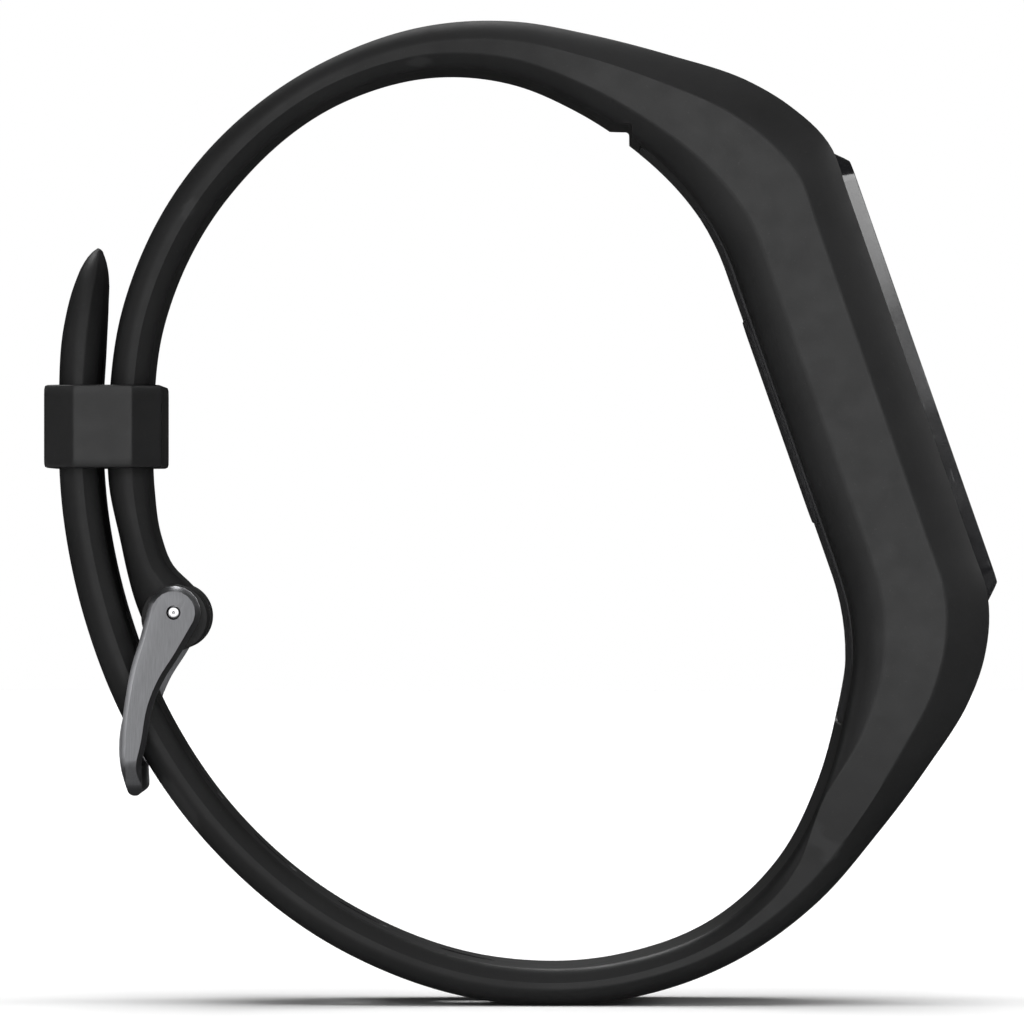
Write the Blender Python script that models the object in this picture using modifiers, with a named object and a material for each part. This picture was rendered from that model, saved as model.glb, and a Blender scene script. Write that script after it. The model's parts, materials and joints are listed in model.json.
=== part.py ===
"""Fitness tracker band: a buckled silicone wrist band that carries a removable tracker module.

Frame: the origin is the centre of the wrist opening, +X points towards the display side, +Y runs
along the wrist and +Z is up. Lengths are in metres. The tracker module is built in a frame of its
own, where x runs down along the display, y is the wrist axis and z points out of the display.
"""

from math import ceil, cos, pi, radians, sin, sqrt

import bmesh
import bpy
import numpy as np
from mathutils import Matrix, Vector

MM = 0.001
GAP = 0.3 * MM

# Band: the head is the thick part round the module, the straps are the thin parts.
HEAD_TILT = 19.3
HEAD_BACK = 20.0 * MM
HEAD_FRONT = 28.8 * MM
HEAD_HALF_WIDTH = 9.7 * MM
HEAD_FLAT_ANGLES = (48.0, 34.0, 20.0, 6.0, -8.0)
STRAP_HALF_WIDTH = 7.5 * MM
SECTION_STEP = 5.0
# Polar stations: angle in degrees, wrist-side radius, outer radius and half width in millimetres.
BUCKLE_STRAP = (
    (197.0, 20.4, 24.5, 7.1),
    (192.0, 21.1, 24.75, 7.1),
    (188.0, 22.15, 24.9, 7.2),
    (183.0, 22.75, 25.15, 7.4),
    (175.0, 23.3, 25.95, 7.5),
    (165.0, 24.1, 26.8, 7.5),
    (150.0, 26.05, 28.7, 7.5),
    (130.0, 28.35, 31.0, 7.6),
    (110.0, 30.0, 32.5, 7.9),
    (98.0, 30.05, 33.0, 8.4),
    (88.0, 29.25, 32.92, 8.9),
    (80.0, 28.05, 32.6, 9.3),
    (70.0, 26.5, 32.66, 9.6),
    (60.0, 24.95, 33.3, 9.7),
    (55.0, 24.1, 33.36, 9.7),
)
TAIL_STRAP = (
    (-16.0, 24.1, 33.24, 9.7),
    (-21.0, 24.95, 33.18, 9.7),
    (-30.0, 26.3, 32.58, 9.6),
    (-40.0, 27.85, 32.4, 9.3),
    (-50.0, 29.4, 32.82, 8.8),
    (-62.0, 30.4, 33.05, 8.2),
    (-75.0, 30.25, 32.75, 7.8),
    (-90.0, 29.4, 31.9, 7.6),
    (-110.0, 27.8, 30.35, 7.5),
    (-130.0, 26.45, 28.95, 7.5),
    (-150.0, 25.65, 28.2, 7.5),
    (-165.0, 25.6, 28.2, 7.5),
    (-180.0, 26.25, 28.85, 7.5),
    (-195.0, 27.6, 30.2, 7.4),
    (-204.0, 28.9, 31.6, 6.7),
    (-209.0, 30.0, 32.25, 5.6),
    (-212.5, 31.1, 32.5, 3.8),
    (-214.3, 31.95, 32.45, 1.8),
)

# Closure
PIN = Vector((-21.5, 0.0, -6.1)) * MM
LUG_CENTRE = Vector((-21.5, 0.0, -6.45)) * MM
LUG_RADIUS = 2.2 * MM
LUG_HALF_WIDTH = 7.0 * MM
LUG_BORE_RADIUS = 0.85 * MM
LUG_NOTCH_HALF_WIDTH = 1.15 * MM
HOLE_PITCH_DEG = 14.9
HOLE_IN_USE_DEG = -153.9
HOLES_TOWARDS_TIP = 3
HOLES_TOWARDS_HEAD = 4
HOLE_WIDTH = 2.2 * MM
HOLE_LENGTH = 3.6 * MM
HOLE_IN_USE_LENGTH = 5.6 * MM
HOLE_IN_USE_SHIFT_DEG = 0.9
HOLE_OVERSHOOT = 0.4 * MM
KEEPER_LOW = Vector((-30.1, -8.9, 3.43)) * MM
KEEPER_HIGH = Vector((-22.3, 8.9, 8.93)) * MM
KEEPER_HOLE_LOW = Vector((-29.45, -7.95, 0.0)) * MM
KEEPER_HOLE_HIGH = Vector((-22.9, 7.95, 12.0)) * MM
FRAME_HALF_WIDTH = 9.15 * MM
FRAME_WINDOW_HALF_WIDTH = 7.85 * MM
FRAME_STRAP_RADIUS = 28.7 * MM
CROSSBAR_TOP = -15.3 * MM
FRAME_LOW_Z = -18.5 * MM
# Side view of the arm and of the tongue from the pin: x, z and half thickness in millimetres.
ARM_PATH = (
    (0.0, 0.0, 1.75),
    (-0.9, -2.2, 1.42),
    (-1.72, -4.0, 1.15),
    (-2.3, -6.0, 0.93),
    (-2.65, -8.5, 0.83),
    (-2.82, -10.2, 0.65),
    (-2.6, -11.65, 0.48),
)
TONGUE_PATH = (
    (-0.2, -0.4, 0.9),
    (-0.95, -1.9, 0.5),
    (-1.9, -3.9, 0.38),
    (-2.95, -6.1, 0.36),
    (-3.48, -8.2, 0.35),
    (-3.48, -9.9, 0.35),
    (-3.2, -11.2, 0.33),
    (-2.85, -12.0, 0.28),
)
TONGUE_HALF_WIDTH = 0.8 * MM
TONGUE_GROOVE_CLEARANCE = 0.22
KNUCKLE_RADIUS = 1.35 * MM

# Spring bar
TUBE_RADIUS = 0.75 * MM
TUBE_BORE_RADIUS = 0.55 * MM
TUBE_HALF_LENGTH = 6.85 * MM
TIP_STEM_RADIUS = 0.45 * MM
TIP_PIVOT_RADIUS = 0.38 * MM
TIP_START = 4.6 * MM
TIP_SHOULDER = 7.0 * MM
TIP_END = 9.0 * MM
FRAME_BORE_RADIUS = 0.58 * MM
SPRING_COIL_RADIUS = 0.38 * MM
SPRING_WIRE_RADIUS = 0.07 * MM
SPRING_HALF_LENGTH = 4.3 * MM
SPRING_TURNS = 8
SPRING_POINTS_PER_TURN = 8

# Tracker module, in its own frame
COVER_OUTER = 19.85 * MM
COVER_THICKNESS = 0.85 * MM
COVER_HALF_LENGTH = 20.2 * MM
COVER_HALF_WIDTH = 7.3 * MM
WRIST_FLAT_HALF = 10.8 * MM
WRIST_ARC_RADIUS = 15.8 * MM
BODY_HALF_LENGTH = 18.9 * MM
BODY_HALF_WIDTH = 7.0 * MM
BODY_TOP = 25.9 * MM
BODY_WALL = 0.9 * MM
BODY_ROOF_LOW = 25.45 * MM
RIM_ABOVE_COVER = 1.05 * MM
PLATE_HALF_LENGTH = 15.75 * MM
PLATE_HALF_WIDTH = 6.3 * MM
PLATE_CORNER = 2.2 * MM
PLATE_LOW = 28.6 * MM
PLATE_TOP = 29.75 * MM
PLATE_CHAMFER = 0.95 * MM
BOSS_TOP = 28.3 * MM
BOSS_ROOF_LOW = 27.6 * MM
BOSS_HALF_LENGTH = 14.9 * MM
BOSS_HALF_WIDTH = 5.6 * MM
COVER_PAD_HALF_LENGTH = 7.2 * MM
COVER_PAD_HALF_WIDTH = 5.6 * MM
COVER_PAD_RISE = 0.15 * MM
COVER_BOSS_RADIUS = 1.2 * MM
COVER_BOSS_LOW = 19.75 * MM
COVER_BOSS_TOP = 20.8 * MM
POST_RADIUS = 1.3 * MM
POST_LOW = 21.1 * MM
SCREW_U = 14.6 * MM
SCREW_Y = 4.85 * MM
SCREW_SEAT = 20.05 * MM
SCREW_END = 24.0 * MM
SCREW_RADIUS = 0.45 * MM
SCREW_HEAD_RADIUS = 0.85 * MM
SCREW_HEAD_HEIGHT = 0.4 * MM
LENS_LOW = Vector((-13.05, -4.75, 28.65)) * MM
LENS_HIGH = Vector((0.65, 4.75, 29.7)) * MM
LENS_CLEARANCE = 0.15 * MM
BUTTON_U = 10.4 * MM
BUTTON_RADIUS = 2.6 * MM
BUTTON_LOW = 28.65 * MM
BUTTON_TOP = 29.85 * MM
STEM_RADIUS = 0.9 * MM
STEM_END = 27.65 * MM
BUTTON_BORE = 1.9 * MM
BATTERY_U = 8.3 * MM
BATTERY_RADIUS = 5.8 * MM
BATTERY_LOW = 21.05 * MM
BATTERY_TOP = 25.25 * MM

SEGMENTS = 32
SMALL_SEGMENTS = 20
PINHEAD_SEGMENTS = 14


# ---------------------------------------------------------------- scene and materials

def clear_scene():
    for obj in list(bpy.data.objects):
        bpy.data.objects.remove(obj, do_unlink=True)


def new_collection(name):
    collection = bpy.data.collections.new(name)
    bpy.context.scene.collection.children.link(collection)
    return collection


def new_material(name, colour, roughness, metallic=0.0):
    material = bpy.data.materials.new(name)
    material.use_nodes = True
    shader = material.node_tree.nodes["Principled BSDF"]
    shader.inputs["Base Color"].default_value = (*colour, 1.0)
    shader.inputs["Roughness"].default_value = roughness
    shader.inputs["Metallic"].default_value = metallic
    return material


clear_scene()
PARTS = new_collection("fitness_tracker_band")
CUTTERS = new_collection("cutters")

SILICONE = new_material("black_silicone", (0.045, 0.045, 0.047), 0.55)
STEEL = new_material("satin_steel", (0.40, 0.41, 0.43), 0.35, 1.0)
BRIGHT_STEEL = new_material("bright_steel", (0.75, 0.75, 0.76), 0.2, 1.0)
SHELL_PLASTIC = new_material("shell_plastic", (0.03, 0.03, 0.032), 0.45)
GLOSS_PLASTIC = new_material("gloss_plastic", (0.02, 0.02, 0.022), 0.12)
LENS_GLASS = new_material("lens_glass", (0.02, 0.02, 0.025), 0.05)
PANEL = new_material("panel", (0.10, 0.12, 0.11), 0.3)
DIFFUSER = new_material("diffuser", (0.8, 0.8, 0.78), 0.5)
BOARD = new_material("board", (0.02, 0.12, 0.05), 0.5)
CHIP = new_material("chip", (0.03, 0.03, 0.03), 0.5)
FLEX = new_material("flex", (0.55, 0.28, 0.05), 0.4)
COPPER = new_material("copper", (0.8, 0.45, 0.25), 0.3, 1.0)
NICKEL = new_material("nickel", (0.66, 0.64, 0.60), 0.28, 1.0)
SEAL_RUBBER = new_material("seal_rubber", (0.12, 0.12, 0.13), 0.7)


# ---------------------------------------------------------------- building helpers

def add_object(name, mesh, material=None, parent=None):
    """Link a mesh as a part when it has a material, or as a cutter when it has none."""
    obj = bpy.data.objects.new(name, mesh)
    if material is None:
        CUTTERS.objects.link(obj)
        obj.hide_render = True
        obj.display_type = "WIRE"
    else:
        PARTS.objects.link(obj)
        mesh.materials.append(material)
    obj.parent = parent
    return obj


def mesh_from(bm, name):
    bmesh.ops.recalc_face_normals(bm, faces=bm.faces)
    mesh = bpy.data.meshes.new(name)
    bm.to_mesh(mesh)
    bm.free()
    return mesh


def shade_round(obj, angle=35.0):
    obj.data.shade_smooth()
    obj.data.set_sharp_from_angle(angle=radians(angle))


def box(name, low, high, material=None, parent=None, corner=0.0, along="Z", segments=4):
    """A box from corner to corner, with the four edges along one axis rounded when corner > 0."""
    low = Vector(low)
    high = Vector(high)
    size = high - low
    placing = Matrix.Translation((low + high) / 2) @ Matrix.Diagonal((*size, 1.0))
    bm = bmesh.new()
    bmesh.ops.create_cube(bm, size=1.0, matrix=placing)
    if corner > 0.0:
        axis = "XYZ".index(along)
        edges = [e for e in bm.edges if abs((e.verts[0].co - e.verts[1].co)[axis]) > size[axis] / 2]
        bmesh.ops.bevel(bm, geom=edges, offset=corner, segments=segments, profile=0.5, affect="EDGES")
    return add_object(name, mesh_from(bm, name), material, parent)


def cylinder(name, radius, low, high, material=None, parent=None, along="Z", segments=SEGMENTS):
    """A round bar between two points that lie on one axis."""
    low = Vector(low)
    high = Vector(high)
    turn = Matrix()
    if along == "Y":
        turn = Matrix.Rotation(radians(90), 4, "X")
    placing = Matrix.Translation((low + high) / 2) @ turn
    bm = bmesh.new()
    bmesh.ops.create_cone(
        bm, cap_ends=True, segments=segments, radius1=radius, radius2=radius,
        depth=(high - low).length, matrix=placing)
    return add_object(name, mesh_from(bm, name), material, parent)


def outline_solid(name, points, half_depth, material=None, parent=None):
    """A flat outline of (x, z) points, extruded to both sides along Y."""
    curve = bpy.data.curves.new(name, "CURVE")
    curve.dimensions = "2D"
    curve.fill_mode = "BOTH"
    curve.extrude = half_depth
    spline = curve.splines.new("POLY")
    spline.points.add(len(points) - 1)
    for point, (x, z) in zip(spline.points, points):
        point.co = (x, z, 0.0, 1.0)
    spline.use_cyclic_u = True
    guide = bpy.data.objects.new(name + "_outline", curve)
    CUTTERS.objects.link(guide)
    guide.rotation_euler = (radians(90), 0.0, 0.0)
    bpy.context.view_layer.update()
    evaluated = guide.evaluated_get(bpy.context.evaluated_depsgraph_get())
    mesh = bpy.data.meshes.new_from_object(evaluated)
    mesh.transform(guide.matrix_world)
    mesh.name = name
    bpy.data.objects.remove(guide, do_unlink=True)
    bm = bmesh.new()
    bm.from_mesh(mesh)
    bmesh.ops.remove_doubles(bm, verts=bm.verts, dist=0.001 * MM)
    bmesh.ops.recalc_face_normals(bm, faces=bm.faces)
    bm.to_mesh(mesh)
    bm.free()
    mesh.materials.clear()
    return add_object(name, mesh, material, parent)


def turned(name, profile, material, parent=None, location=(0, 0, 0), along="Z", segments=SMALL_SEGMENTS):
    """Turn a closed profile of (radius, height) points, listed from the top down its outer side."""
    bm = bmesh.new()
    verts = [bm.verts.new((radius, 0.0, height)) for radius, height in profile]
    for first, second in zip(verts, verts[1:]):
        bm.edges.new((first, second))
    if profile[0][0] > 0.0:
        bm.edges.new((verts[-1], verts[0]))
    mesh = bpy.data.meshes.new(name)
    bm.to_mesh(mesh)
    bm.free()
    obj = add_object(name, mesh, material, parent)
    obj.location = location
    if along == "Y":
        obj.rotation_euler = (radians(-90), 0.0, 0.0)
    if along == "-Y":
        obj.rotation_euler = (radians(90), 0.0, 0.0)
    screw = obj.modifiers.new("turn", "SCREW")
    screw.steps = segments
    screw.render_steps = segments
    screw.use_merge_vertices = True
    screw.merge_threshold = 0.00001
    screw.use_smooth_shade = True
    return obj


def boolean(obj, other, operation="DIFFERENCE"):
    modifier = obj.modifiers.new(other.name, "BOOLEAN")
    modifier.operation = operation
    modifier.solver = "EXACT"
    modifier.object = other


def bevel(obj, width, segments=2, angle=50.0):
    modifier = obj.modifiers.new("edges", "BEVEL")
    modifier.width = width
    modifier.segments = segments
    modifier.limit_method = "ANGLE"
    modifier.angle_limit = radians(angle)


# ---------------------------------------------------------------- band

def head_station(angle):
    """A station where the wrist face and the outer face are the head's two parallel planes."""
    lean = cos(radians(angle - HEAD_TILT))
    return (angle, HEAD_BACK / lean / MM, HEAD_FRONT / lean / MM, HEAD_HALF_WIDTH / MM)


def band_stations():
    return BUCKLE_STRAP + tuple(head_station(angle) for angle in HEAD_FLAT_ANGLES) + TAIL_STRAP


def smooth_station(stations, angle):
    """Radii and half width at an angle, on cubic curves through the stations."""
    keys = np.array([-row[0] for row in stations])
    values = np.array([row[1:] for row in stations])
    slopes = np.gradient(values, keys, axis=0)
    place = -angle
    index = int(np.clip(np.searchsorted(keys, place) - 1, 0, len(keys) - 2))
    span = keys[index + 1] - keys[index]
    t = (place - keys[index]) / span
    start = (2 * t**3 - 3 * t**2 + 1) * values[index] + (t**3 - 2 * t**2 + t) * span * slopes[index]
    end = (3 * t**2 - 2 * t**3) * values[index + 1] + (t**3 - t**2) * span * slopes[index + 1]
    return (start + end) * MM


def section_ring(half_width):
    """Cross-section as (across, share of thickness) pairs, from the wrist face to the outer face.

    Both faces are flat. Sloping faces lead to the upright side, which is tall on the head and
    only a narrow ridge on the straps.
    """
    fullness = (half_width - STRAP_HALF_WIDTH) / (HEAD_HALF_WIDTH - STRAP_HALF_WIDTH)
    fullness = min(max(fullness, 0.0), 1.0)
    side_low = 0.38 - 0.12 * fullness
    side_high = 0.52 + 0.17 * fullness
    wrist_slope = min((1.1 + 0.4 * fullness) * MM, half_width * 0.45)
    outer_slope = min((1.4 + 0.4 * fullness) * MM, half_width * 0.55)
    half = [
        (half_width - wrist_slope, 0.0),
        (half_width - 0.38 * wrist_slope, 0.38 * side_low),
        (half_width, side_low),
        (half_width, side_high),
        (half_width - 0.40 * outer_slope, side_high + 0.58 * (1.0 - side_high)),
        (half_width - outer_slope, 1.0),
    ]
    other_half = [(-across, share) for across, share in reversed(half)]
    return [(0.0, 0.0)] + half + [(0.0, 1.0)] + other_half


def section_angles(stations):
    """The stations' own angles, with even steps of at most SECTION_STEP between them."""
    keys = [row[0] for row in stations]
    angles = [keys[0]]
    for start, end in zip(keys, keys[1:]):
        steps = ceil((start - end) / SECTION_STEP)
        angles += list(np.linspace(start, end, steps + 1)[1:])
    return angles


def band_mesh():
    stations = band_stations()
    bm = bmesh.new()
    rings = []
    for angle in section_angles(stations):
        inner, outer, half_width = smooth_station(stations, angle)
        ring = []
        for across, share in section_ring(half_width):
            radius = inner + share * (outer - inner)
            ring.append(bm.verts.new((radius * cos(radians(angle)), across, radius * sin(radians(angle)))))
        rings.append(ring)
    for ring, following in zip(rings, rings[1:]):
        for index in range(len(ring)):
            after = (index + 1) % len(ring)
            bm.faces.new((ring[index], ring[after], following[after], following[index]))
    bm.faces.new(rings[0])
    bm.faces.new(rings[-1])
    bmesh.ops.triangulate(bm, faces=bm.faces)
    return mesh_from(bm, "band")


def hole_cutter(name, angle, length):
    """An oblong hole through the tail strap only, along the radius at the given angle."""
    inner, outer, _ = smooth_station(band_stations(), angle)
    half_width = HOLE_WIDTH / 2
    cutter = box(
        name, (-length / 2, -half_width, inner - HOLE_OVERSHOOT),
        (length / 2, half_width, outer + HOLE_OVERSHOOT), corner=0.98 * half_width, segments=5)
    cutter.rotation_euler = (0.0, radians(90.0 - angle), 0.0)
    return cutter


def wrist_curve(u):
    """Height of the back cover's wrist face: flat in the middle, then falling away on an arc."""
    beyond = max(abs(u) - WRIST_FLAT_HALF, 0.0)
    return COVER_OUTER - WRIST_ARC_RADIUS + sqrt(WRIST_ARC_RADIUS**2 - beyond**2)


def wrist_curve_points(half_length, offset, steps=6):
    """The wrist curve from one end to the other, raised by an offset."""
    arc = [WRIST_FLAT_HALF + (half_length - WRIST_FLAT_HALF) * i / steps for i in range(steps + 1)]
    stops = [-u for u in reversed(arc)] + arc
    return [(u, wrist_curve(u) + offset) for u in stops]


def make_band(module):
    band = add_object("band", band_mesh(), SILICONE)
    reach = Vector((0, LUG_HALF_WIDTH, 0))
    lug = cylinder("lug", LUG_RADIUS, LUG_CENTRE - reach, LUG_CENTRE + reach, along="Y")
    boolean(band, lug, "UNION")
    reach = Vector((0, 12 * MM, 0))
    boolean(band, cylinder(
        "lug_bore", LUG_BORE_RADIUS, PIN - reach, PIN + reach, along="Y", segments=SMALL_SEGMENTS))
    width = LUG_NOTCH_HALF_WIDTH
    boolean(band, box("lug_notch", (-26 * MM, -width, -10 * MM), (-18 * MM, width, -4.3 * MM)))
    length = COVER_HALF_LENGTH + GAP
    recess = [(-length, 10 * MM)]
    recess += wrist_curve_points(length, COVER_THICKNESS + GAP)
    recess += [(length, 10 * MM)]
    boolean(band, outline_solid("cover_recess", recess, COVER_HALF_WIDTH + GAP, parent=module))
    length = BODY_HALF_LENGTH + GAP
    width = BODY_HALF_WIDTH + GAP
    boolean(band, box(
        "body_pocket", (-length, -width, 12 * MM), (length, width, BODY_TOP + GAP), parent=module))
    length = PLATE_HALF_LENGTH + GAP
    width = PLATE_HALF_WIDTH + GAP
    boolean(band, box(
        "plate_window", (-length, -width, 22 * MM), (length, width, 34 * MM), parent=module,
        corner=PLATE_CORNER + GAP))
    boolean(band, box("pry_notch", (5.0 * MM, -12 * MM, 22.5 * MM), (8.7 * MM, 12 * MM, 26.15 * MM)))
    for step in range(-HOLES_TOWARDS_HEAD, HOLES_TOWARDS_TIP + 1):
        angle = HOLE_IN_USE_DEG - step * HOLE_PITCH_DEG
        length = HOLE_LENGTH
        if step == 0:
            angle -= HOLE_IN_USE_SHIFT_DEG
            length = HOLE_IN_USE_LENGTH
        boolean(band, hole_cutter(f"adjustment_hole_{step + HOLES_TOWARDS_HEAD}", angle, length))
    return band


# ---------------------------------------------------------------- closure

def tapered_outline(path, spread=0.0, cap_steps=5):
    """Outline round a bent, tapering bar: both sides of its path, with round ends."""
    centres = [Vector((x, z)) for x, z, _ in path]
    halves = [half + spread for _, _, half in path]
    left = []
    right = []
    for index, centre in enumerate(centres):
        before = centres[max(index - 1, 0)]
        after = centres[min(index + 1, len(centres) - 1)]
        along = (after - before).normalized()
        side = Vector((along.y, -along.x))
        left.append(centre + side * halves[index])
        right.append(centre - side * halves[index])
    end = cap_points(centres[-1], left[-1], halves[-1], cap_steps)
    start = cap_points(centres[0], right[0], halves[0], cap_steps)
    ring = left + end + list(reversed(right)) + start
    return [(p.x * MM, p.y * MM) for p in ring]


def cap_points(centre, first, radius, steps):
    """Points strictly inside the half circle that starts at the first point."""
    base = first - centre
    points = []
    for index in range(1, steps):
        turn = Matrix.Rotation(pi * index / steps, 2)
        points.append(centre + (turn @ base).normalized() * radius)
    return points


def make_buckle_frame():
    frame = outline_solid("buckle_frame", tapered_outline(ARM_PATH), FRAME_HALF_WIDTH, STEEL)
    frame.location = PIN
    shape = box(
        "frame_shape", (-40 * MM, -FRAME_HALF_WIDTH, FRAME_LOW_Z), (0, FRAME_HALF_WIDTH, 4 * MM),
        corner=2.3 * MM, along="X", segments=4)
    boolean(frame, shape, "INTERSECT")
    window = FRAME_WINDOW_HALF_WIDTH
    boolean(frame, box(
        "frame_window", (-40 * MM, -window, CROSSBAR_TOP), (-10 * MM, window, 10 * MM),
        corner=1.2 * MM, along="X"))
    boolean(frame, cylinder(
        "strap_path", FRAME_STRAP_RADIUS, (0, -window, 0), (0, window, 0), along="Y", segments=96))
    groove = outline_solid(
        "tongue_groove", tapered_outline(TONGUE_PATH, TONGUE_GROOVE_CLEARANCE), TONGUE_HALF_WIDTH + GAP)
    groove.location = PIN
    boolean(frame, groove)
    reach = Vector((0, 12 * MM, 0))
    boolean(frame, cylinder(
        "frame_bore", FRAME_BORE_RADIUS, PIN - reach, PIN + reach, along="Y", segments=PINHEAD_SEGMENTS))
    return frame


def make_buckle_tongue():
    tongue = outline_solid("buckle_tongue", tapered_outline(TONGUE_PATH), TONGUE_HALF_WIDTH, STEEL)
    tongue.location = PIN
    knuckle_half = TONGUE_HALF_WIDTH + 0.1 * MM
    reach = Vector((0, knuckle_half, 0))
    boolean(tongue, cylinder(
        "knuckle", KNUCKLE_RADIUS, PIN - reach, PIN + reach, along="Y", segments=SMALL_SEGMENTS), "UNION")
    reach = Vector((0, 3 * MM, 0))
    boolean(tongue, cylinder(
        "knuckle_bore", LUG_BORE_RADIUS, PIN - reach, PIN + reach, along="Y", segments=SMALL_SEGMENTS))
    return tongue


def make_spring_bar():
    wall = [
        (TUBE_BORE_RADIUS, TUBE_HALF_LENGTH),
        (TUBE_RADIUS, TUBE_HALF_LENGTH),
        (TUBE_RADIUS, -TUBE_HALF_LENGTH),
        (TUBE_BORE_RADIUS, -TUBE_HALF_LENGTH),
    ]
    turned("spring_bar_tube", wall, STEEL, location=PIN, along="Y", segments=PINHEAD_SEGMENTS)
    rounding = 0.12 * MM
    tip = [
        (0.0, TIP_END),
        (TIP_PIVOT_RADIUS - rounding, TIP_END),
        (TIP_PIVOT_RADIUS, TIP_END - rounding),
        (TIP_PIVOT_RADIUS, TIP_SHOULDER),
        (TIP_STEM_RADIUS, TIP_SHOULDER),
        (TIP_STEM_RADIUS, TIP_START),
        (0.0, TIP_START),
    ]
    turned("spring_bar_tip_near", tip, BRIGHT_STEEL, location=PIN, along="-Y", segments=PINHEAD_SEGMENTS)
    turned("spring_bar_tip_far", tip, BRIGHT_STEEL, location=PIN, along="Y", segments=PINHEAD_SEGMENTS)


def make_spring():
    curve = bpy.data.curves.new("spring_bar_spring", "CURVE")
    curve.dimensions = "3D"
    curve.bevel_depth = SPRING_WIRE_RADIUS
    curve.bevel_resolution = 2
    curve.use_fill_caps = True
    curve.materials.append(BRIGHT_STEEL)
    count = SPRING_TURNS * SPRING_POINTS_PER_TURN + 1
    spline = curve.splines.new("POLY")
    spline.points.add(count - 1)
    for index, point in enumerate(spline.points):
        turn = 2 * pi * index / SPRING_POINTS_PER_TURN
        along = -SPRING_HALF_LENGTH + 2 * SPRING_HALF_LENGTH * index / (count - 1)
        point.co = (SPRING_COIL_RADIUS * cos(turn), along, SPRING_COIL_RADIUS * sin(turn), 1.0)
    spring = bpy.data.objects.new("spring_bar_spring", curve)
    PARTS.objects.link(spring)
    spring.location = PIN


def make_keeper():
    centre = (KEEPER_LOW + KEEPER_HIGH) / 2
    keeper = box("keeper_loop", KEEPER_LOW - centre, KEEPER_HIGH - centre, SILICONE, corner=2.0 * MM)
    keeper.location = centre
    bevel(keeper, 0.5 * MM, segments=2)
    boolean(keeper, box("keeper_hole", KEEPER_HOLE_LOW, KEEPER_HOLE_HIGH, corner=1.5 * MM))
    shade_round(keeper)
    return keeper


# ---------------------------------------------------------------- tracker module

def make_module_frame():
    """An empty that carries the module: z points out of the display, x down along it."""
    module = bpy.data.objects.new("module_frame", None)
    PARTS.objects.link(module)
    module.rotation_euler = (0.0, radians(90.0 - HEAD_TILT), 0.0)
    return module


def screw_places():
    return [(u, y) for u in (-SCREW_U, SCREW_U) for y in (-SCREW_Y, SCREW_Y)]


def make_housing(module):
    outline = wrist_curve_points(BODY_HALF_LENGTH, COVER_THICKNESS + RIM_ABOVE_COVER)
    outline += [(BODY_HALF_LENGTH, BODY_TOP), (-BODY_HALF_LENGTH, BODY_TOP)]
    housing = outline_solid("module_housing", outline, BODY_HALF_WIDTH, SHELL_PLASTIC, module)
    length = PLATE_HALF_LENGTH
    width = PLATE_HALF_WIDTH
    boolean(housing, box(
        "boss", (-length, -width, 24 * MM), (length, width, BOSS_TOP), parent=module,
        corner=PLATE_CORNER), "UNION")
    length = BODY_HALF_LENGTH - BODY_WALL
    width = BODY_HALF_WIDTH - BODY_WALL
    boolean(housing, box(
        "body_inside", (-length, -width, 12 * MM), (length, width, BODY_ROOF_LOW), parent=module))
    boolean(housing, box(
        "boss_inside", (-BOSS_HALF_LENGTH, -BOSS_HALF_WIDTH, 20 * MM),
        (BOSS_HALF_LENGTH, BOSS_HALF_WIDTH, BOSS_ROOF_LOW), parent=module, corner=0.5 * MM))
    boolean(housing, box(
        "display_opening", (-12.5 * MM, -4.4 * MM, 27 * MM), (0.2 * MM, 4.4 * MM, 30 * MM), parent=module))
    boolean(housing, cylinder(
        "button_bore", BUTTON_BORE, (BUTTON_U, 0, 27 * MM), (BUTTON_U, 0, 30 * MM), parent=module,
        segments=SMALL_SEGMENTS))
    for index, (u, y) in enumerate(screw_places()):
        boolean(housing, cylinder(
            f"post_{index}", POST_RADIUS, (u, y, POST_LOW), (u, y, BODY_ROOF_LOW + GAP), parent=module,
            segments=SMALL_SEGMENTS), "UNION")
    for index, (u, y) in enumerate(screw_places()):
        boolean(housing, cylinder(
            f"post_bore_{index}", 0.6 * MM, (u, y, 18 * MM), (u, y, SCREW_END + GAP), parent=module,
            segments=PINHEAD_SEGMENTS))
    return housing


def make_back_cover(module):
    outline = wrist_curve_points(COVER_HALF_LENGTH, 0.0)
    outline += list(reversed(wrist_curve_points(COVER_HALF_LENGTH, COVER_THICKNESS)))
    cover = outline_solid("back_cover", outline, COVER_HALF_WIDTH, SHELL_PLASTIC, module)
    length = COVER_PAD_HALF_LENGTH
    width = COVER_PAD_HALF_WIDTH
    middle = COVER_OUTER + COVER_THICKNESS / 2
    boolean(cover, box(
        "label_pad", (-length, -width, COVER_OUTER - COVER_PAD_RISE), (length, width, middle),
        parent=module, corner=1.5 * MM), "UNION")
    for index, (u, y) in enumerate(screw_places()):
        boolean(cover, cylinder(
            f"cover_boss_{index}", COVER_BOSS_RADIUS, (u, y, COVER_BOSS_LOW), (u, y, COVER_BOSS_TOP),
            parent=module, segments=SMALL_SEGMENTS), "UNION")
        boolean(cover, cylinder(
            f"head_recess_{index}", SCREW_HEAD_RADIUS + 0.1 * MM, (u, y, 12 * MM), (u, y, SCREW_SEAT),
            parent=module, segments=SMALL_SEGMENTS))
        boolean(cover, cylinder(
            f"screw_hole_{index}", 0.6 * MM, (u, y, 12 * MM), (u, y, 24 * MM), parent=module,
            segments=PINHEAD_SEGMENTS))
    return cover


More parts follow.
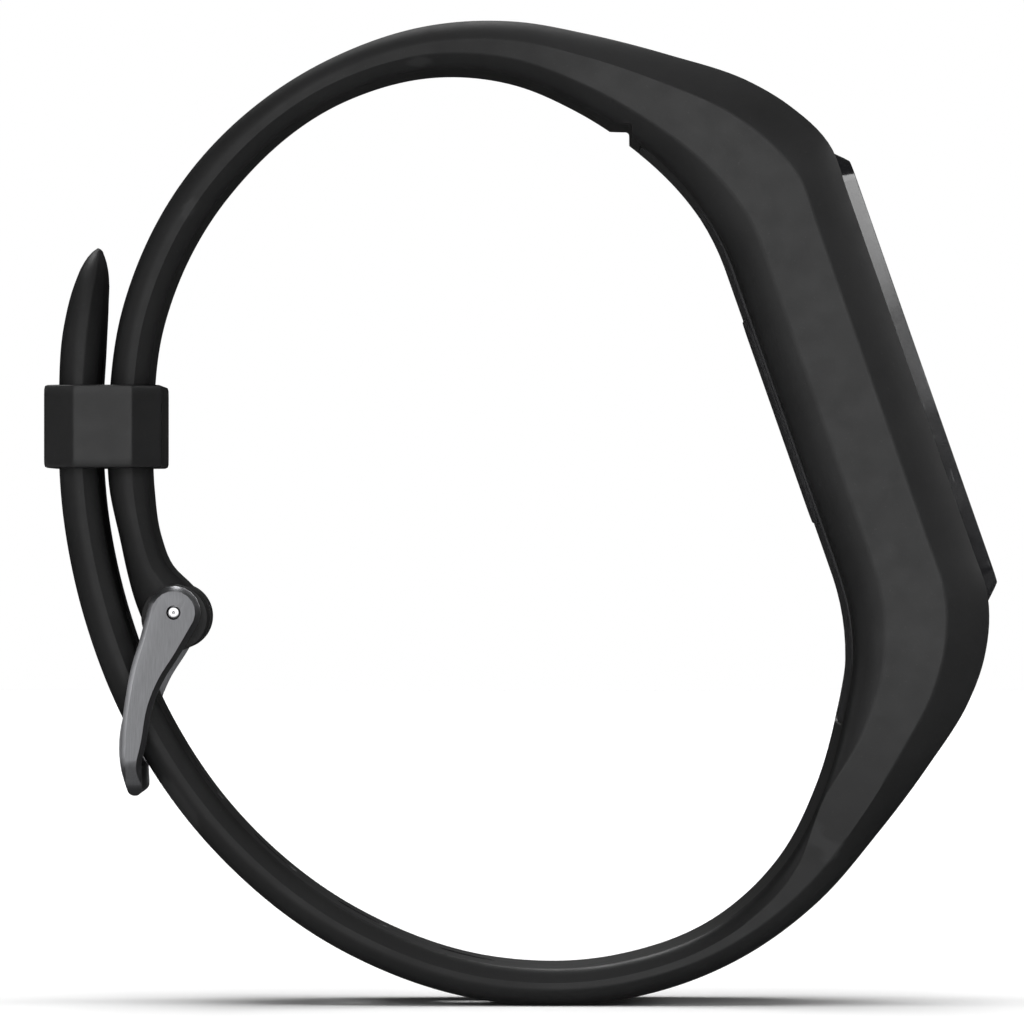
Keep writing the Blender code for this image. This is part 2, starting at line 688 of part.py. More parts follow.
def make_back_screws(module):
    head_high = SCREW_SEAT - 0.05 * MM
    head_low = head_high - SCREW_HEAD_HEIGHT
    profile = [
        (0.0, SCREW_END),
        (SCREW_RADIUS, SCREW_END),
        (SCREW_RADIUS, head_high),
        (SCREW_HEAD_RADIUS, head_high),
        (SCREW_HEAD_RADIUS, head_low),
        (0.0, head_low),
    ]
    for index, (u, y) in enumerate(screw_places()):
        turned(
            f"back_screw_{index + 1}", profile, BRIGHT_STEEL, module, (u, y, 0.0),
            segments=PINHEAD_SEGMENTS)


def make_back_gasket(module):
    half_length = BODY_HALF_LENGTH - 0.15 * MM
    low = wrist_curve_points(half_length, COVER_THICKNESS + 0.2 * MM)
    high = wrist_curve_points(half_length, COVER_THICKNESS + 0.7 * MM)
    gasket = outline_solid(
        "back_gasket", low + list(reversed(high)), BODY_HALF_WIDTH - 0.15 * MM, SEAL_RUBBER, module)
    length = half_length - 0.6 * MM
    width = BODY_HALF_WIDTH - 0.75 * MM
    boolean(gasket, box("gasket_inside", (-length, -width, 12 * MM), (length, width, 30 * MM), parent=module))
    return gasket


def make_display_bezel(module):
    bezel = box(
        "display_bezel", (-PLATE_HALF_LENGTH, -PLATE_HALF_WIDTH, PLATE_LOW),
        (PLATE_HALF_LENGTH, PLATE_HALF_WIDTH, PLATE_TOP), GLOSS_PLASTIC, module, corner=PLATE_CORNER)
    top_edges = bezel.modifiers.new("top_edges", "BEVEL")
    top_edges.width = PLATE_CHAMFER
    top_edges.segments = 2
    top_edges.limit_method = "WEIGHT"
    weights = bezel.data.attributes.new("bevel_weight_edge", "FLOAT", "EDGE")
    for edge in bezel.data.edges:
        heights = [bezel.data.vertices[i].co.z for i in edge.vertices]
        weights.data[edge.index].value = 1.0 if min(heights) > PLATE_TOP - 0.01 * MM else 0.0
    spread = Vector((LENS_CLEARANCE, LENS_CLEARANCE, 0))
    low = LENS_LOW - spread - Vector((0, 0, 2 * MM))
    high = LENS_HIGH + spread + Vector((0, 0, 2 * MM))
    boolean(bezel, box("lens_opening", low, high, parent=module, corner=1.0 * MM))
    boolean(bezel, cylinder(
        "button_opening", BUTTON_RADIUS + 0.25 * MM, (BUTTON_U, 0, 27 * MM), (BUTTON_U, 0, 32 * MM),
        parent=module))
    return bezel


def make_display(module):
    box("display_lens", LENS_LOW, LENS_HIGH, LENS_GLASS, module, corner=0.85 * MM)
    box("display_panel", (-13.4 * MM, -5.3 * MM, 25.95 * MM), (1.1 * MM, 5.3 * MM, 27.2 * MM), PANEL, module)
    box("backlight", (-13.2 * MM, -5.0 * MM, 25.0 * MM), (0.9 * MM, 5.0 * MM, 25.7 * MM), DIFFUSER, module)
    thickness = 0.15 * MM
    left = -14.4 * MM
    low = 24.35 * MM
    high = 26.6 * MM
    reach = -13.55 * MM
    ribbon = [
        (reach, low),
        (left, low),
        (left, high),
        (reach, high),
        (reach, high - thickness),
        (left + thickness, high - thickness),
        (left + thickness, low + thickness),
        (reach, low + thickness),
    ]
    outline_solid("display_flex", ribbon, 3.5 * MM, FLEX, module)


def make_button(module):
    profile = [
        (0.0, BUTTON_TOP),
        (BUTTON_RADIUS - 0.25 * MM, BUTTON_TOP),
        (BUTTON_RADIUS, BUTTON_TOP - 0.25 * MM),
        (BUTTON_RADIUS, BUTTON_LOW),
        (STEM_RADIUS, BUTTON_LOW),
        (STEM_RADIUS, STEM_END),
        (0.0, STEM_END),
    ]
    place = (BUTTON_U, 0.0, 0.0)
    turned("button_cap", profile, GLOSS_PLASTIC, module, place, segments=SEGMENTS)
    ring = [
        (STEM_RADIUS + 0.2 * MM, BOSS_TOP - 0.1 * MM),
        (BUTTON_BORE - 0.2 * MM, BOSS_TOP - 0.1 * MM),
        (BUTTON_BORE - 0.2 * MM, BOSS_ROOF_LOW + 0.1 * MM),
        (STEM_RADIUS + 0.2 * MM, BOSS_ROOF_LOW + 0.1 * MM),
    ]
    turned("button_gasket", ring, SEAL_RUBBER, module, place)
    box("button_board", (6.4 * MM, -4.6 * MM, 26.3 * MM), (14.4 * MM, 4.6 * MM, 26.7 * MM), BOARD, module)
    dome = [
        (0.0, 27.25 * MM),
        (0.9 * MM, 27.2 * MM),
        (1.6 * MM, 27.05 * MM),
        (1.9 * MM, 26.9 * MM),
        (0.0, 26.9 * MM),
    ]
    turned("dome_switch", dome, NICKEL, module, place)


def make_electronics(module):
    board_low = 23.5 * MM
    board_high = 24.2 * MM
    box("main_board", (-13.0 * MM, -5.9 * MM, board_low), (1.4 * MM, 5.9 * MM, board_high), BOARD, module)
    chip_top = board_low - 0.15 * MM
    chips = (
        ("processor_chip", -3.6, 0.0, 5.0, 5.0, 0.9),
        ("radio_chip", -10.6, 0.0, 4.0, 4.0, 0.8),
        ("accelerometer_chip", -7.2, 3.8, 2.0, 2.0, 0.8),
        ("crystal", -7.2, -3.8, 3.2, 1.5, 0.7),
    )
    for name, u, y, length, width, height in chips:
        centre = Vector((u * MM, y * MM, chip_top - height * MM / 2))
        half = Vector((length, width, height)) * MM / 2
        box(name, centre - half, centre + half, NICKEL if name == "crystal" else CHIP, module)
    antenna = [
        (-17.4 * MM, 21.6 * MM),
        (-17.1 * MM, 21.6 * MM),
        (-17.1 * MM, 24.6 * MM),
        (-15.6 * MM, 24.6 * MM),
        (-15.6 * MM, 24.9 * MM),
        (-17.4 * MM, 24.9 * MM),
    ]
    outline_solid("antenna", antenna, 2.8 * MM, COPPER, module)


def make_battery(module):
    crimp = 0.35 * MM
    profile = [
        (0.0, BATTERY_TOP),
        (BATTERY_RADIUS - crimp, BATTERY_TOP),
        (BATTERY_RADIUS, BATTERY_TOP - crimp),
        (BATTERY_RADIUS, BATTERY_LOW + 2 * crimp),
        (BATTERY_RADIUS - crimp, BATTERY_LOW + crimp),
        (BATTERY_RADIUS - 2 * crimp, BATTERY_LOW),
        (0.0, BATTERY_LOW),
    ]
    turned("coin_battery", profile, NICKEL, module, (BATTERY_U, 0.0, 0.0), segments=SEGMENTS)
    box(
        "battery_contact_minus", (4 * MM, -1.5 * MM, 20.8 * MM), (12.2 * MM, 1.5 * MM, 20.95 * MM),
        NICKEL, module)
    box(
        "battery_contact_plus", (4 * MM, -1.5 * MM, 25.4 * MM), (13 * MM, 1.5 * MM, 25.55 * MM),
        NICKEL, module)
    tray = box(
        "battery_tray", (1.9 * MM, -5.9 * MM, 21.5 * MM), (12.9 * MM, 5.9 * MM, 25.25 * MM),
        SHELL_PLASTIC, module)
    boolean(tray, box(
        "tray_roof", (1.8 * MM, -5.2 * MM, 22 * MM), (12.8 * MM, 5.2 * MM, 26.1 * MM),
        parent=module), "UNION")
    boolean(tray, cylinder(
        "battery_well", BATTERY_RADIUS + 0.15 * MM, (BATTERY_U, 0, 18 * MM), (BATTERY_U, 0, 25.7 * MM),
        parent=module))


MODULE = make_module_frame()
make_band(MODULE)
make_buckle_frame()
make_buckle_tongue()
make_spring_bar()
make_spring()
make_keeper()
make_housing(MODULE)
make_back_cover(MODULE)
make_back_screws(MODULE)
make_back_gasket(MODULE)
make_display_bezel(MODULE)
make_display(MODULE)
make_button(MODULE)
make_electronics(MODULE)
make_battery(MODULE)
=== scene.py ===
"""Looks of the fitness tracker band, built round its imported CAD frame.

Lengths are in metres and the frame is the CAD's own: the origin is the centre of the wrist opening,
+X points to the display side, +Y runs along the wrist and +Z is up.
"""
import json
from math import atan2, ceil, cos, degrees, exp, pi, radians, sin, sqrt

import bmesh
import bpy
import numpy as np
from mathutils import Matrix, Vector

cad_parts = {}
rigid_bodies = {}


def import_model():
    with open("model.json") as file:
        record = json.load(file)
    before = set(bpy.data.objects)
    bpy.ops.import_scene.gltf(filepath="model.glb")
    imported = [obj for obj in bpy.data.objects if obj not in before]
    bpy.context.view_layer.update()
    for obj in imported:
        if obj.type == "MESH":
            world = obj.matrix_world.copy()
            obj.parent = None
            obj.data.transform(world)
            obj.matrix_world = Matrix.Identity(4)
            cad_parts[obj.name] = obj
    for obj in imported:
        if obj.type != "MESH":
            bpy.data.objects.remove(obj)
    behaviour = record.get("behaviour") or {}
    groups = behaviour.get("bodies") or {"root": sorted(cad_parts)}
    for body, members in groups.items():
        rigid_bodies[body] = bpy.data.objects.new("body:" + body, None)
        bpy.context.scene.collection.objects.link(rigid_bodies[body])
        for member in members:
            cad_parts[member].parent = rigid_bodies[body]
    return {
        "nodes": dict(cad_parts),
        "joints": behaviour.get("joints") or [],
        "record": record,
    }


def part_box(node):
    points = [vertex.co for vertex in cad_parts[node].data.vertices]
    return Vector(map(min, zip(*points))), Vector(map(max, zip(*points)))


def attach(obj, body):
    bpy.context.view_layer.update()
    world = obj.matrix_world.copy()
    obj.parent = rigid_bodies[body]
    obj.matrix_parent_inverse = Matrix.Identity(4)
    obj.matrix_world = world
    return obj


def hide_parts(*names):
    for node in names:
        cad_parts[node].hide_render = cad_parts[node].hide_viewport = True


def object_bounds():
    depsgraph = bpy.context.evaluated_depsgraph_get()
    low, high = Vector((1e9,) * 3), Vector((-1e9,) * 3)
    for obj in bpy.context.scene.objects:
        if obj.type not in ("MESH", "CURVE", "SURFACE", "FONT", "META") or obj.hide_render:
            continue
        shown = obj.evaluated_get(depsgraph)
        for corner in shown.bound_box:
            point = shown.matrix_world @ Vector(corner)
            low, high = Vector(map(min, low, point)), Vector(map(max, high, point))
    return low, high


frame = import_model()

MM = 0.001
CAD_LOW, CAD_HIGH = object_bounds()
MOUNTS = {mount["name"]: mount for mount in frame["record"]["mounts"]}
JOINTS = {joint["name"]: joint for joint in frame["joints"]}
PIN = Vector(JOINTS["buckle_swing"]["pos_m"])
LEAST = 0.01 * MM
SLIVER = 0.003 * MM
WELD_DISTANCE = 0.001 * MM
FLAT_FACE_WEIGHT = 80

# The module's own frame: u runs down along the display, y is the wrist axis, n points outwards.
OUTWARD = Vector(MOUNTS["display_face"]["axis"]).normalized()
DOWNWARD = Vector((OUTWARD.z, 0.0, -OUTWARD.x))
MODULE = Matrix((
    (DOWNWARD.x, 0.0, OUTWARD.x, 0.0),
    (0.0, 1.0, 0.0, 0.0),
    (DOWNWARD.z, 0.0, OUTWARD.z, 0.0),
    (0.0, 0.0, 0.0, 1.0),
))
HEAD_TILT = atan2(OUTWARD.z, OUTWARD.x)


def module_box(node):
    """(lowest, highest) corner of a CAD node in the module's own frame."""
    back = MODULE.transposed()
    points = np.array([back @ v.co for v in frame["nodes"][node].data.vertices])
    return Vector(points.min(0)), Vector(points.max(0))


def centre_and_half(low, high):
    return (low + high) / 2, (high - low) / 2


# ---------------------------------------------------------------- band dimensions

HEAD_BACK = 20.0 * MM
HEAD_FRONT = 28.8 * MM
HEAD_HALF_WIDTH = CAD_HIGH.y
HEAD_FLAT_ANGLES = (48.0, 44.0, 38.0, 32.0, 26.0, 20.0, 14.0, 8.0, 2.0, -4.0, -8.0)
STRAP_HALF_WIDTH = 7.5 * MM
SECTION_STEP_DEG = 1.0
# Polar stations: angle in degrees, wrist-side radius, outer radius and half width in millimetres.
BUCKLE_STRAP = (
    (197.0, 20.4, 24.5, 7.1),
    (192.0, 21.1, 24.75, 7.1),
    (188.0, 22.15, 24.9, 7.2),
    (183.0, 22.75, 25.15, 7.4),
    (175.0, 23.3, 25.95, 7.5),
    (165.0, 24.1, 26.8, 7.5),
    (150.0, 26.05, 28.7, 7.5),
    (130.0, 28.35, 31.0, 7.6),
    (110.0, 30.0, 32.5, 7.9),
    (98.0, 30.05, 33.0, 8.4),
    (88.0, 29.25, 32.92, 8.9),
    (80.0, 28.05, 32.6, 9.3),
    (70.0, 26.5, 32.66, 9.6),
    (60.0, 24.95, 33.3, 9.7),
    (55.0, 24.1, 33.36, 9.7),
)
TAIL_STRAP = (
    (-16.0, 24.1, 33.24, 9.7),
    (-21.0, 24.95, 33.18, 9.7),
    (-30.0, 26.14, 32.58, 9.6),
    (-40.0, 27.8, 32.4, 9.3),
    (-50.0, 29.4, 32.82, 8.8),
    (-62.0, 30.4, 33.05, 8.2),
    (-75.0, 30.25, 32.75, 7.8),
    (-90.0, 29.4, 31.9, 7.6),
    (-110.0, 27.8, 30.35, 7.5),
    (-130.0, 26.45, 28.95, 7.5),
    (-150.0, 25.65, 28.2, 7.5),
    (-165.0, 25.6, 28.2, 7.5),
    (-180.0, 26.25, 28.85, 7.5),
    (-195.0, 27.6, 30.2, 7.4),
    (-204.0, 28.9, 31.6, 6.7),
    (-209.0, 30.0, 32.25, 5.6),
    (-211.8, 30.8, 32.48, 4.3),
    (-213.2, 31.42, 32.46, 3.0),
    (-213.6, 31.66, 32.42, 2.2),
    (-213.9, 31.88, 32.36, 1.4),
)
TIP_CAP_LENGTH = 0.14 * MM
TIP_CAP_TURNS_DEG = (25.0, 50.0, 70.0, 85.0)
WRIST_BEVEL_PINCH_DEG = -41.5
WRIST_BEVEL_PINCH_SPREAD = 7.5
CURVE_STOPS = (0.0, 0.08, 0.2, 0.36, 0.52, 0.68, 0.82, 0.93, 1.0)
SIDE_FILLET = 0.09 * MM

LUG_CENTRE = PIN + Vector((0.0, 0.0, -0.35)) * MM
LUG_RADIUS = 2.2 * MM
LUG_HALF_WIDTH = 7.0 * MM
LUG_BORE_RADIUS = 0.85 * MM
LUG_EDGE = 0.35 * MM
LUG_MOUTH_FLARE = 0.25 * MM
LUG_MOUTH_DEPTH = 0.15 * MM
LUG_MOUTH_OVERSHOOT = 0.1 * MM
LUG_NOTCH_X = -22.0 * MM
LUG_NOTCH_HEIGHTS = (-10.0 * MM, -4.3 * MM)
LUG_NOTCH_HALF_SIZE = (4.0 * MM, 1.15 * MM)
LUG_NOTCH_CORNER = 0.3 * MM
HOLE_PITCH_DEG = 14.9
HOLE_IN_USE_DEG = -153.9
HOLES_TOWARDS_TIP = 3
HOLES_TOWARDS_HEAD = 4
HOLE_WIDTH = 2.2 * MM
HOLE_LENGTH = 3.6 * MM
HOLE_IN_USE_LENGTH = 5.6 * MM
HOLE_IN_USE_SHIFT_DEG = 0.9
HOLE_CHAMFER = 0.2 * MM
HOLE_OVERSHOOT = 0.08 * MM
HOLE_CAP_HEIGHT = 0.4 * MM

COVER_OUTER = 19.85 * MM
COVER_THICKNESS = 0.85 * MM
COVER_HALF_LENGTH = 20.2 * MM
COVER_HALF_WIDTH = 7.3 * MM
COVER_CORNER = 1.2 * MM
WRIST_FLAT_HALF = 10.8 * MM
WRIST_ARC_RADIUS = 16.4 * MM
BODY_HALF_LENGTH = 18.9 * MM
BODY_HALF_WIDTH = 7.0 * MM
BODY_TOP = 25.9 * MM
GAP = 0.3 * MM
COVER_GAP = 0.07 * MM
RECESS_OVERSHOOT = 0.9 * MM
CURVED_PLATE_STEPS = 44
POCKET_START = 12.0 * MM
POCKET_CORNER = 0.6 * MM
WINDOW_START = 22.0 * MM
WINDOW_CHAMFER_DEPTH = 0.18 * MM
WINDOW_FLARE = 1.2 * MM
WINDOW_CORNER = 2.5 * MM
PRY_NOTCH_CENTRE = (6.85 * MM, 0.0, 24.32 * MM)
PRY_NOTCH_HALF_SIZE = (1.85 * MM, 1.82 * MM)
PRY_NOTCH_CORNER = 0.25 * MM
PRY_NOTCH_REACH = 12.0 * MM


# ---------------------------------------------------------------- mesh helpers

def loft(rings, close=True):
    """Quads between rings of equal length, with both end rings filled."""
    bm = bmesh.new()
    rows = [[bm.verts.new(point) for point in ring] for ring in rings]
    count = len(rows[0])
    for row, following in zip(rows, rows[1:]):
        for index in range(count):
            after = (index + 1) % count
            bm.faces.new((row[index], row[after], following[after], following[index]))
    if close:
        bm.faces.new(rows[0])
        bm.faces.new(rows[-1])
    bmesh.ops.recalc_face_normals(bm, faces=bm.faces)
    return bm


def add_object(name, data):
    obj = bpy.data.objects.new(name, data)
    bpy.context.scene.collection.objects.link(obj)
    return obj


def to_object(name, bm, matrix=None):
    if matrix is not None:
        bm.transform(matrix)
    mesh = bpy.data.meshes.new(name)
    bm.to_mesh(mesh)
    bm.free()
    return add_object(name, mesh)


def module_object(name, bm, x=0.0, y=0.0):
    """An object from a mesh that was built in the module's own frame, at (x, y) in it."""
    return to_object(name, bm, MODULE @ Matrix.Translation((x, y, 0.0)))


def settle(obj):
    """Make the modifiers' result the object's own mesh."""
    bpy.context.view_layer.update()
    evaluated = obj.evaluated_get(bpy.context.evaluated_depsgraph_get())
    mesh = bpy.data.meshes.new_from_object(evaluated)
    obj.modifiers.clear()
    old = obj.data
    obj.data = mesh
    mesh.name = obj.name
    bpy.data.meshes.remove(old)
    return obj


def carve(obj, other, operation="DIFFERENCE"):
    """Cut another object out of this one, or join it on, and drop the other object."""
    modifier = obj.modifiers.new(other.name, "BOOLEAN")
    modifier.operation = operation
    modifier.solver = "EXACT"
    modifier.object = other
    settle(obj)
    bpy.data.objects.remove(other, do_unlink=True)
    return obj


def join_slivers(obj):
    """Merge the corners that lie a few micrometres apart where several cuts meet."""
    bm = bmesh.new()
    bm.from_mesh(obj.data)
    bmesh.ops.remove_doubles(bm, verts=bm.verts, dist=SLIVER)
    bm.to_mesh(obj.data)
    bm.free()


def add_bevel(obj, width, segments, angle):
    modifier = obj.modifiers.new("rounding", "BEVEL")
    modifier.width = width
    modifier.segments = segments
    modifier.limit_method = "ANGLE"
    modifier.angle_limit = radians(angle)


def soften(obj, width, angle=32.0):
    """Round the edges that are sharper than the angle."""
    add_bevel(obj, width, 3, angle)
    settle(obj)


def shade(obj, angle=38.0):
    """Smooth shading in which the large flat faces stay flat."""
    obj.data.shade_smooth()
    obj.data.set_sharp_from_angle(angle=radians(angle))
    modifier = obj.modifiers.new("flat_faces", "WEIGHTED_NORMAL")
    modifier.keep_sharp = True
    modifier.weight = FLAT_FACE_WEIGHT
    return settle(obj)


def rounded_rect(half_u, half_y, radius, steps=8):
    """(u, y) points round a rectangle with round corners, always 4 * (steps + 1) of them."""
    radius = max(min(radius, half_u - LEAST, half_y - LEAST), LEAST)
    points = []
    corners = ((1, 1, 0.0), (-1, 1, 90.0), (-1, -1, 180.0), (1, -1, 270.0))
    for sign_u, sign_y, start in corners:
        for step in range(steps + 1):
            angle = radians(start + 90.0 * step / steps)
            points.append((
                sign_u * (half_u - radius) + radius * cos(angle),
                sign_y * (half_y - radius) + radius * sin(angle)))
    return points


def stack(levels, half_u, half_y, radius, centre=(0.0, 0.0), steps=8):
    """Loft of rounded rectangles: each level is (inset, height)."""
    rings = []
    for inset, height in levels:
        outline = rounded_rect(half_u - inset, half_y - inset, radius - inset, steps)
        rings.append([Vector((u + centre[0], y + centre[1], height)) for u, y in outline])
    return loft(rings)


def turned(profile, segments=64):
    """A lathe solid round the Z axis from (radius, height) points, both ends on the axis."""
    bm = bmesh.new()
    rows = []
    for radius, height in profile:
        if radius <= 0.0:
            rows.append([bm.verts.new((0.0, 0.0, height))])
            continue
        row = []
        for step in range(segments):
            angle = 2 * pi * step / segments
            row.append(bm.verts.new((radius * cos(angle), radius * sin(angle), height)))
        rows.append(row)
    for row, following in zip(rows, rows[1:]):
        for index in range(segments):
            after = (index + 1) % segments
            corners = []
            for vert in (
                    row[index % len(row)], row[after % len(row)],
                    following[after % len(following)], following[index % len(following)]):
                if vert not in corners:
                    corners.append(vert)
            bm.faces.new(corners)
    bmesh.ops.recalc_face_normals(bm, faces=bm.faces)
    return bm


def bezier(p0, p1, p2, p3, stops):
    points = []
    for t in stops:
        s = 1.0 - t
        points.append(tuple(
            s**3 * a + 3 * s * s * t * b + 3 * s * t * t * c + t**3 * d
            for a, b, c, d in zip(p0, p1, p2, p3)))
    return points


def arc_fillet(corner, before, after, steps=4):
    """Points that round a 2D corner from a point before it to a point after it."""
    return bezier(before, corner, corner, after, [i / steps for i in range(steps + 1)])


def along_curve(keys, values, place):
    """The point at a place on the cubic curve through the stations' values."""
    slopes = np.gradient(values, keys, axis=0)
    index = int(np.clip(np.searchsorted(keys, place) - 1, 0, len(keys) - 2))
    span = keys[index + 1] - keys[index]
    t = (place - keys[index]) / span
    start = (2 * t**3 - 3 * t**2 + 1) * values[index] + (t**3 - 2 * t**2 + t) * span * slopes[index]
    end = (3 * t**2 - 2 * t**3) * values[index + 1] + (t**3 - t**2) * span * slopes[index + 1]
    return start + end


def mirrored(profile):
    """A lathe profile's second half, from its first half."""
    return [(radius, -height) for radius, height in reversed(profile)]


def lathe_along_y(name, profile, centre, segments=64):
    """A lathe solid whose axis is the wrist axis."""
    matrix = Matrix.Translation(centre) @ Matrix.Rotation(radians(-90.0), 4, "X")
    return to_object(name, turned(profile, segments), matrix)


def plain_bar(name, radius, half_length, centre, segments=40):
    first_half = [(0.0, -half_length), (radius, -half_length)]
    return lathe_along_y(name, first_half + mirrored(first_half), centre, segments)


# ---------------------------------------------------------------- band

def head_station(angle):
    lean = cos(radians(angle) - HEAD_TILT)
    return (angle, HEAD_BACK / lean / MM, HEAD_FRONT / lean / MM, HEAD_HALF_WIDTH / MM)


STATIONS = BUCKLE_STRAP + tuple(head_station(angle) for angle in HEAD_FLAT_ANGLES) + TAIL_STRAP


def smooth_station(angle):
    """Radii and half width at an angle, on cubic curves through the stations."""
    keys = np.array([-row[0] for row in STATIONS])
    return along_curve(keys, np.array([row[1:] for row in STATIONS]), -angle) * MM


def polar(angle, radius, across):
    """The point at an angle and a distance from the wrist axis."""
    direction = Vector((cos(radians(angle)), 0.0, sin(radians(angle))))
    return direction * radius + Vector((0.0, across, 0.0))


def band_section(half_width, thick, pinch):
    """Cross-section as (across, height above the wrist face) points, from the middle of the wrist
    face round one side to the middle of the outer face and back round the other side.

    It changes from the strap's soft edges to the head's wide bevels as the band gets wider. Pinch
    narrows the bevel on the wrist side.
    """
    full = (half_width - STRAP_HALF_WIDTH) / (HEAD_HALF_WIDTH - STRAP_HALF_WIDTH)
    full = min(max(full, 0.0), 1.0)
    low = (0.38 - 0.12 * full) * (1.0 - 0.82 * pinch) * thick
    high = (0.52 + 0.17 * full) * thick
    wrist_slope = min((1.1 + 0.4 * full) * (1.0 - 0.6 * pinch) * MM, half_width * 0.45)
    outer_slope = min((1.4 + 0.4 * full) * MM, half_width * 0.55)
    inner_curve = bezier(
        (half_width - wrist_slope, 0.0),
        (half_width - (0.68 - 0.27 * full) * wrist_slope, 0.0),
        (half_width - (0.33 - 0.16 * full) * wrist_slope, (0.45 + 0.03 * full) * low),
        (half_width, low), CURVE_STOPS)
    outer_curve = bezier(
        (half_width, high),
        (half_width - 0.27 * full * outer_slope, high + (0.44 - 0.09 * full) * (thick - high)),
        (half_width - (0.43 + 0.15 * full) * outer_slope, thick - 0.30 * full * (thick - high)),
        (half_width - outer_slope, thick), CURVE_STOPS)
    fillet = min(SIDE_FILLET, (high - low) / 3)
    side = [(half_width, height) for height in (low + fillet, (low + high) / 2, high - fillet)]
    wrist_flat = half_width - wrist_slope
    outer_flat = half_width - outer_slope
    half = [(0.45 * wrist_flat, 0.0), (0.85 * wrist_flat, 0.0)]
    half += inner_curve + side + outer_curve
    half += [(0.85 * outer_flat, thick), (0.45 * outer_flat, thick)]
    other_half = [(-across, height) for across, height in reversed(half)]
    return [(0.0, 0.0)] + half + [(0.0, thick)] + other_half


def band_ring(angle):
    inner, outer, half_width = smooth_station(angle)
    pinch = exp(-((angle - WRIST_BEVEL_PINCH_DEG) / WRIST_BEVEL_PINCH_SPREAD)**2)
    section = band_section(half_width, outer - inner, pinch)
    return [polar(angle, inner + height, across) for across, height in section]


def band_rings():
    """Rings along the whole band, with a rounded cap at the free tip."""
    keys = [row[0] for row in STATIONS]
    angles = [keys[0]]
    for start, end in zip(keys, keys[1:]):
        steps = ceil((start - end) / SECTION_STEP_DEG)
        angles += list(np.linspace(start, end, steps + 1)[1:])
    rings = [band_ring(angle) for angle in angles]
    last = rings[-1]
    centre = sum(last, Vector()) / len(last)
    before = sum(rings[-2], Vector()) / len(last)
    along = (centre - before).normalized()
    for turn in TIP_CAP_TURNS_DEG:
        shrink = cos(radians(turn))
        step = along * TIP_CAP_LENGTH * sin(radians(turn))
        rings.append([centre + (point - centre) * shrink + step for point in last])
    return rings


def wrist_curve(u):
    beyond = max(abs(u) - WRIST_FLAT_HALF, 0.0)
    return COVER_OUTER - WRIST_ARC_RADIUS + sqrt(WRIST_ARC_RADIUS**2 - beyond**2)


def curved_plate(half_length, half_width, corner, levels):
    """A plate that follows the wrist curve, from (inset, height) levels of its edge profile."""
    bm = stack(levels, half_length, half_width, corner)
    for index in range(1, CURVED_PLATE_STEPS):
        place = half_length * (2.0 * index / CURVED_PLATE_STEPS - 1.0)
        everything = bm.verts[:] + bm.edges[:] + bm.faces[:]
        bmesh.ops.bisect_plane(
            bm, geom=everything, plane_co=(place, 0.0, 0.0), plane_no=(1.0, 0.0, 0.0))
    for vert in bm.verts:
        vert.co.z += wrist_curve(vert.co.x) - COVER_OUTER
    bmesh.ops.translate(bm, verts=bm.verts, vec=(0.0, 0.0, COVER_OUTER))
    return bm


def hole_cutter(angle, length):
    """An oblong hole with chamfered mouths that follows both faces of the tail strap."""
    middle = (smooth_station(angle)[0] + smooth_station(angle)[1]) / 2
    wide = HOLE_CHAMFER + HOLE_OVERSHOOT
    rings = []
    for spread, face, rise in (
            (wide, 1, HOLE_CAP_HEIGHT), (wide, 1, HOLE_OVERSHOOT), (0.0, 1, -HOLE_CHAMFER),
            (0.0, 0, HOLE_CHAMFER), (wide, 0, -HOLE_OVERSHOOT)):
        ring = []
        half = HOLE_WIDTH / 2 + spread
        for along, across in rounded_rect(length / 2 + spread, half, 0.98 * half):
            place = angle + degrees(along / middle)
            ring.append(polar(place, smooth_station(place)[face] + rise, across))
        rings.append(ring)
    return to_object("hole", loft(rings))


def add_lug(band):
    """The knuckle for the spring bar, its bore with flared mouths, and the slot for the tongue."""
    end = -LUG_HALF_WIDTH
    half = [(0.0, end)]
    half += arc_fillet(
        (LUG_RADIUS, end), (LUG_RADIUS - LUG_EDGE, end), (LUG_RADIUS, LUG_EDGE + end))
    carve(band, lathe_along_y("lug", half + mirrored(half), LUG_CENTRE), "UNION")
    mouth = LUG_BORE_RADIUS + LUG_MOUTH_FLARE
    half = [
        (0.0, end - LUG_MOUTH_OVERSHOOT), (mouth, end - LUG_MOUTH_OVERSHOOT),
        (LUG_BORE_RADIUS, end + LUG_MOUTH_DEPTH)]
    carve(band, lathe_along_y("lug_bore", half + mirrored(half), PIN, 48))
    levels = [(0.0, height) for height in LUG_NOTCH_HEIGHTS]
    notch = stack(levels, *LUG_NOTCH_HALF_SIZE, LUG_NOTCH_CORNER)
    carve(band, to_object("lug_notch", notch, Matrix.Translation((LUG_NOTCH_X, 0.0, 0.0))))


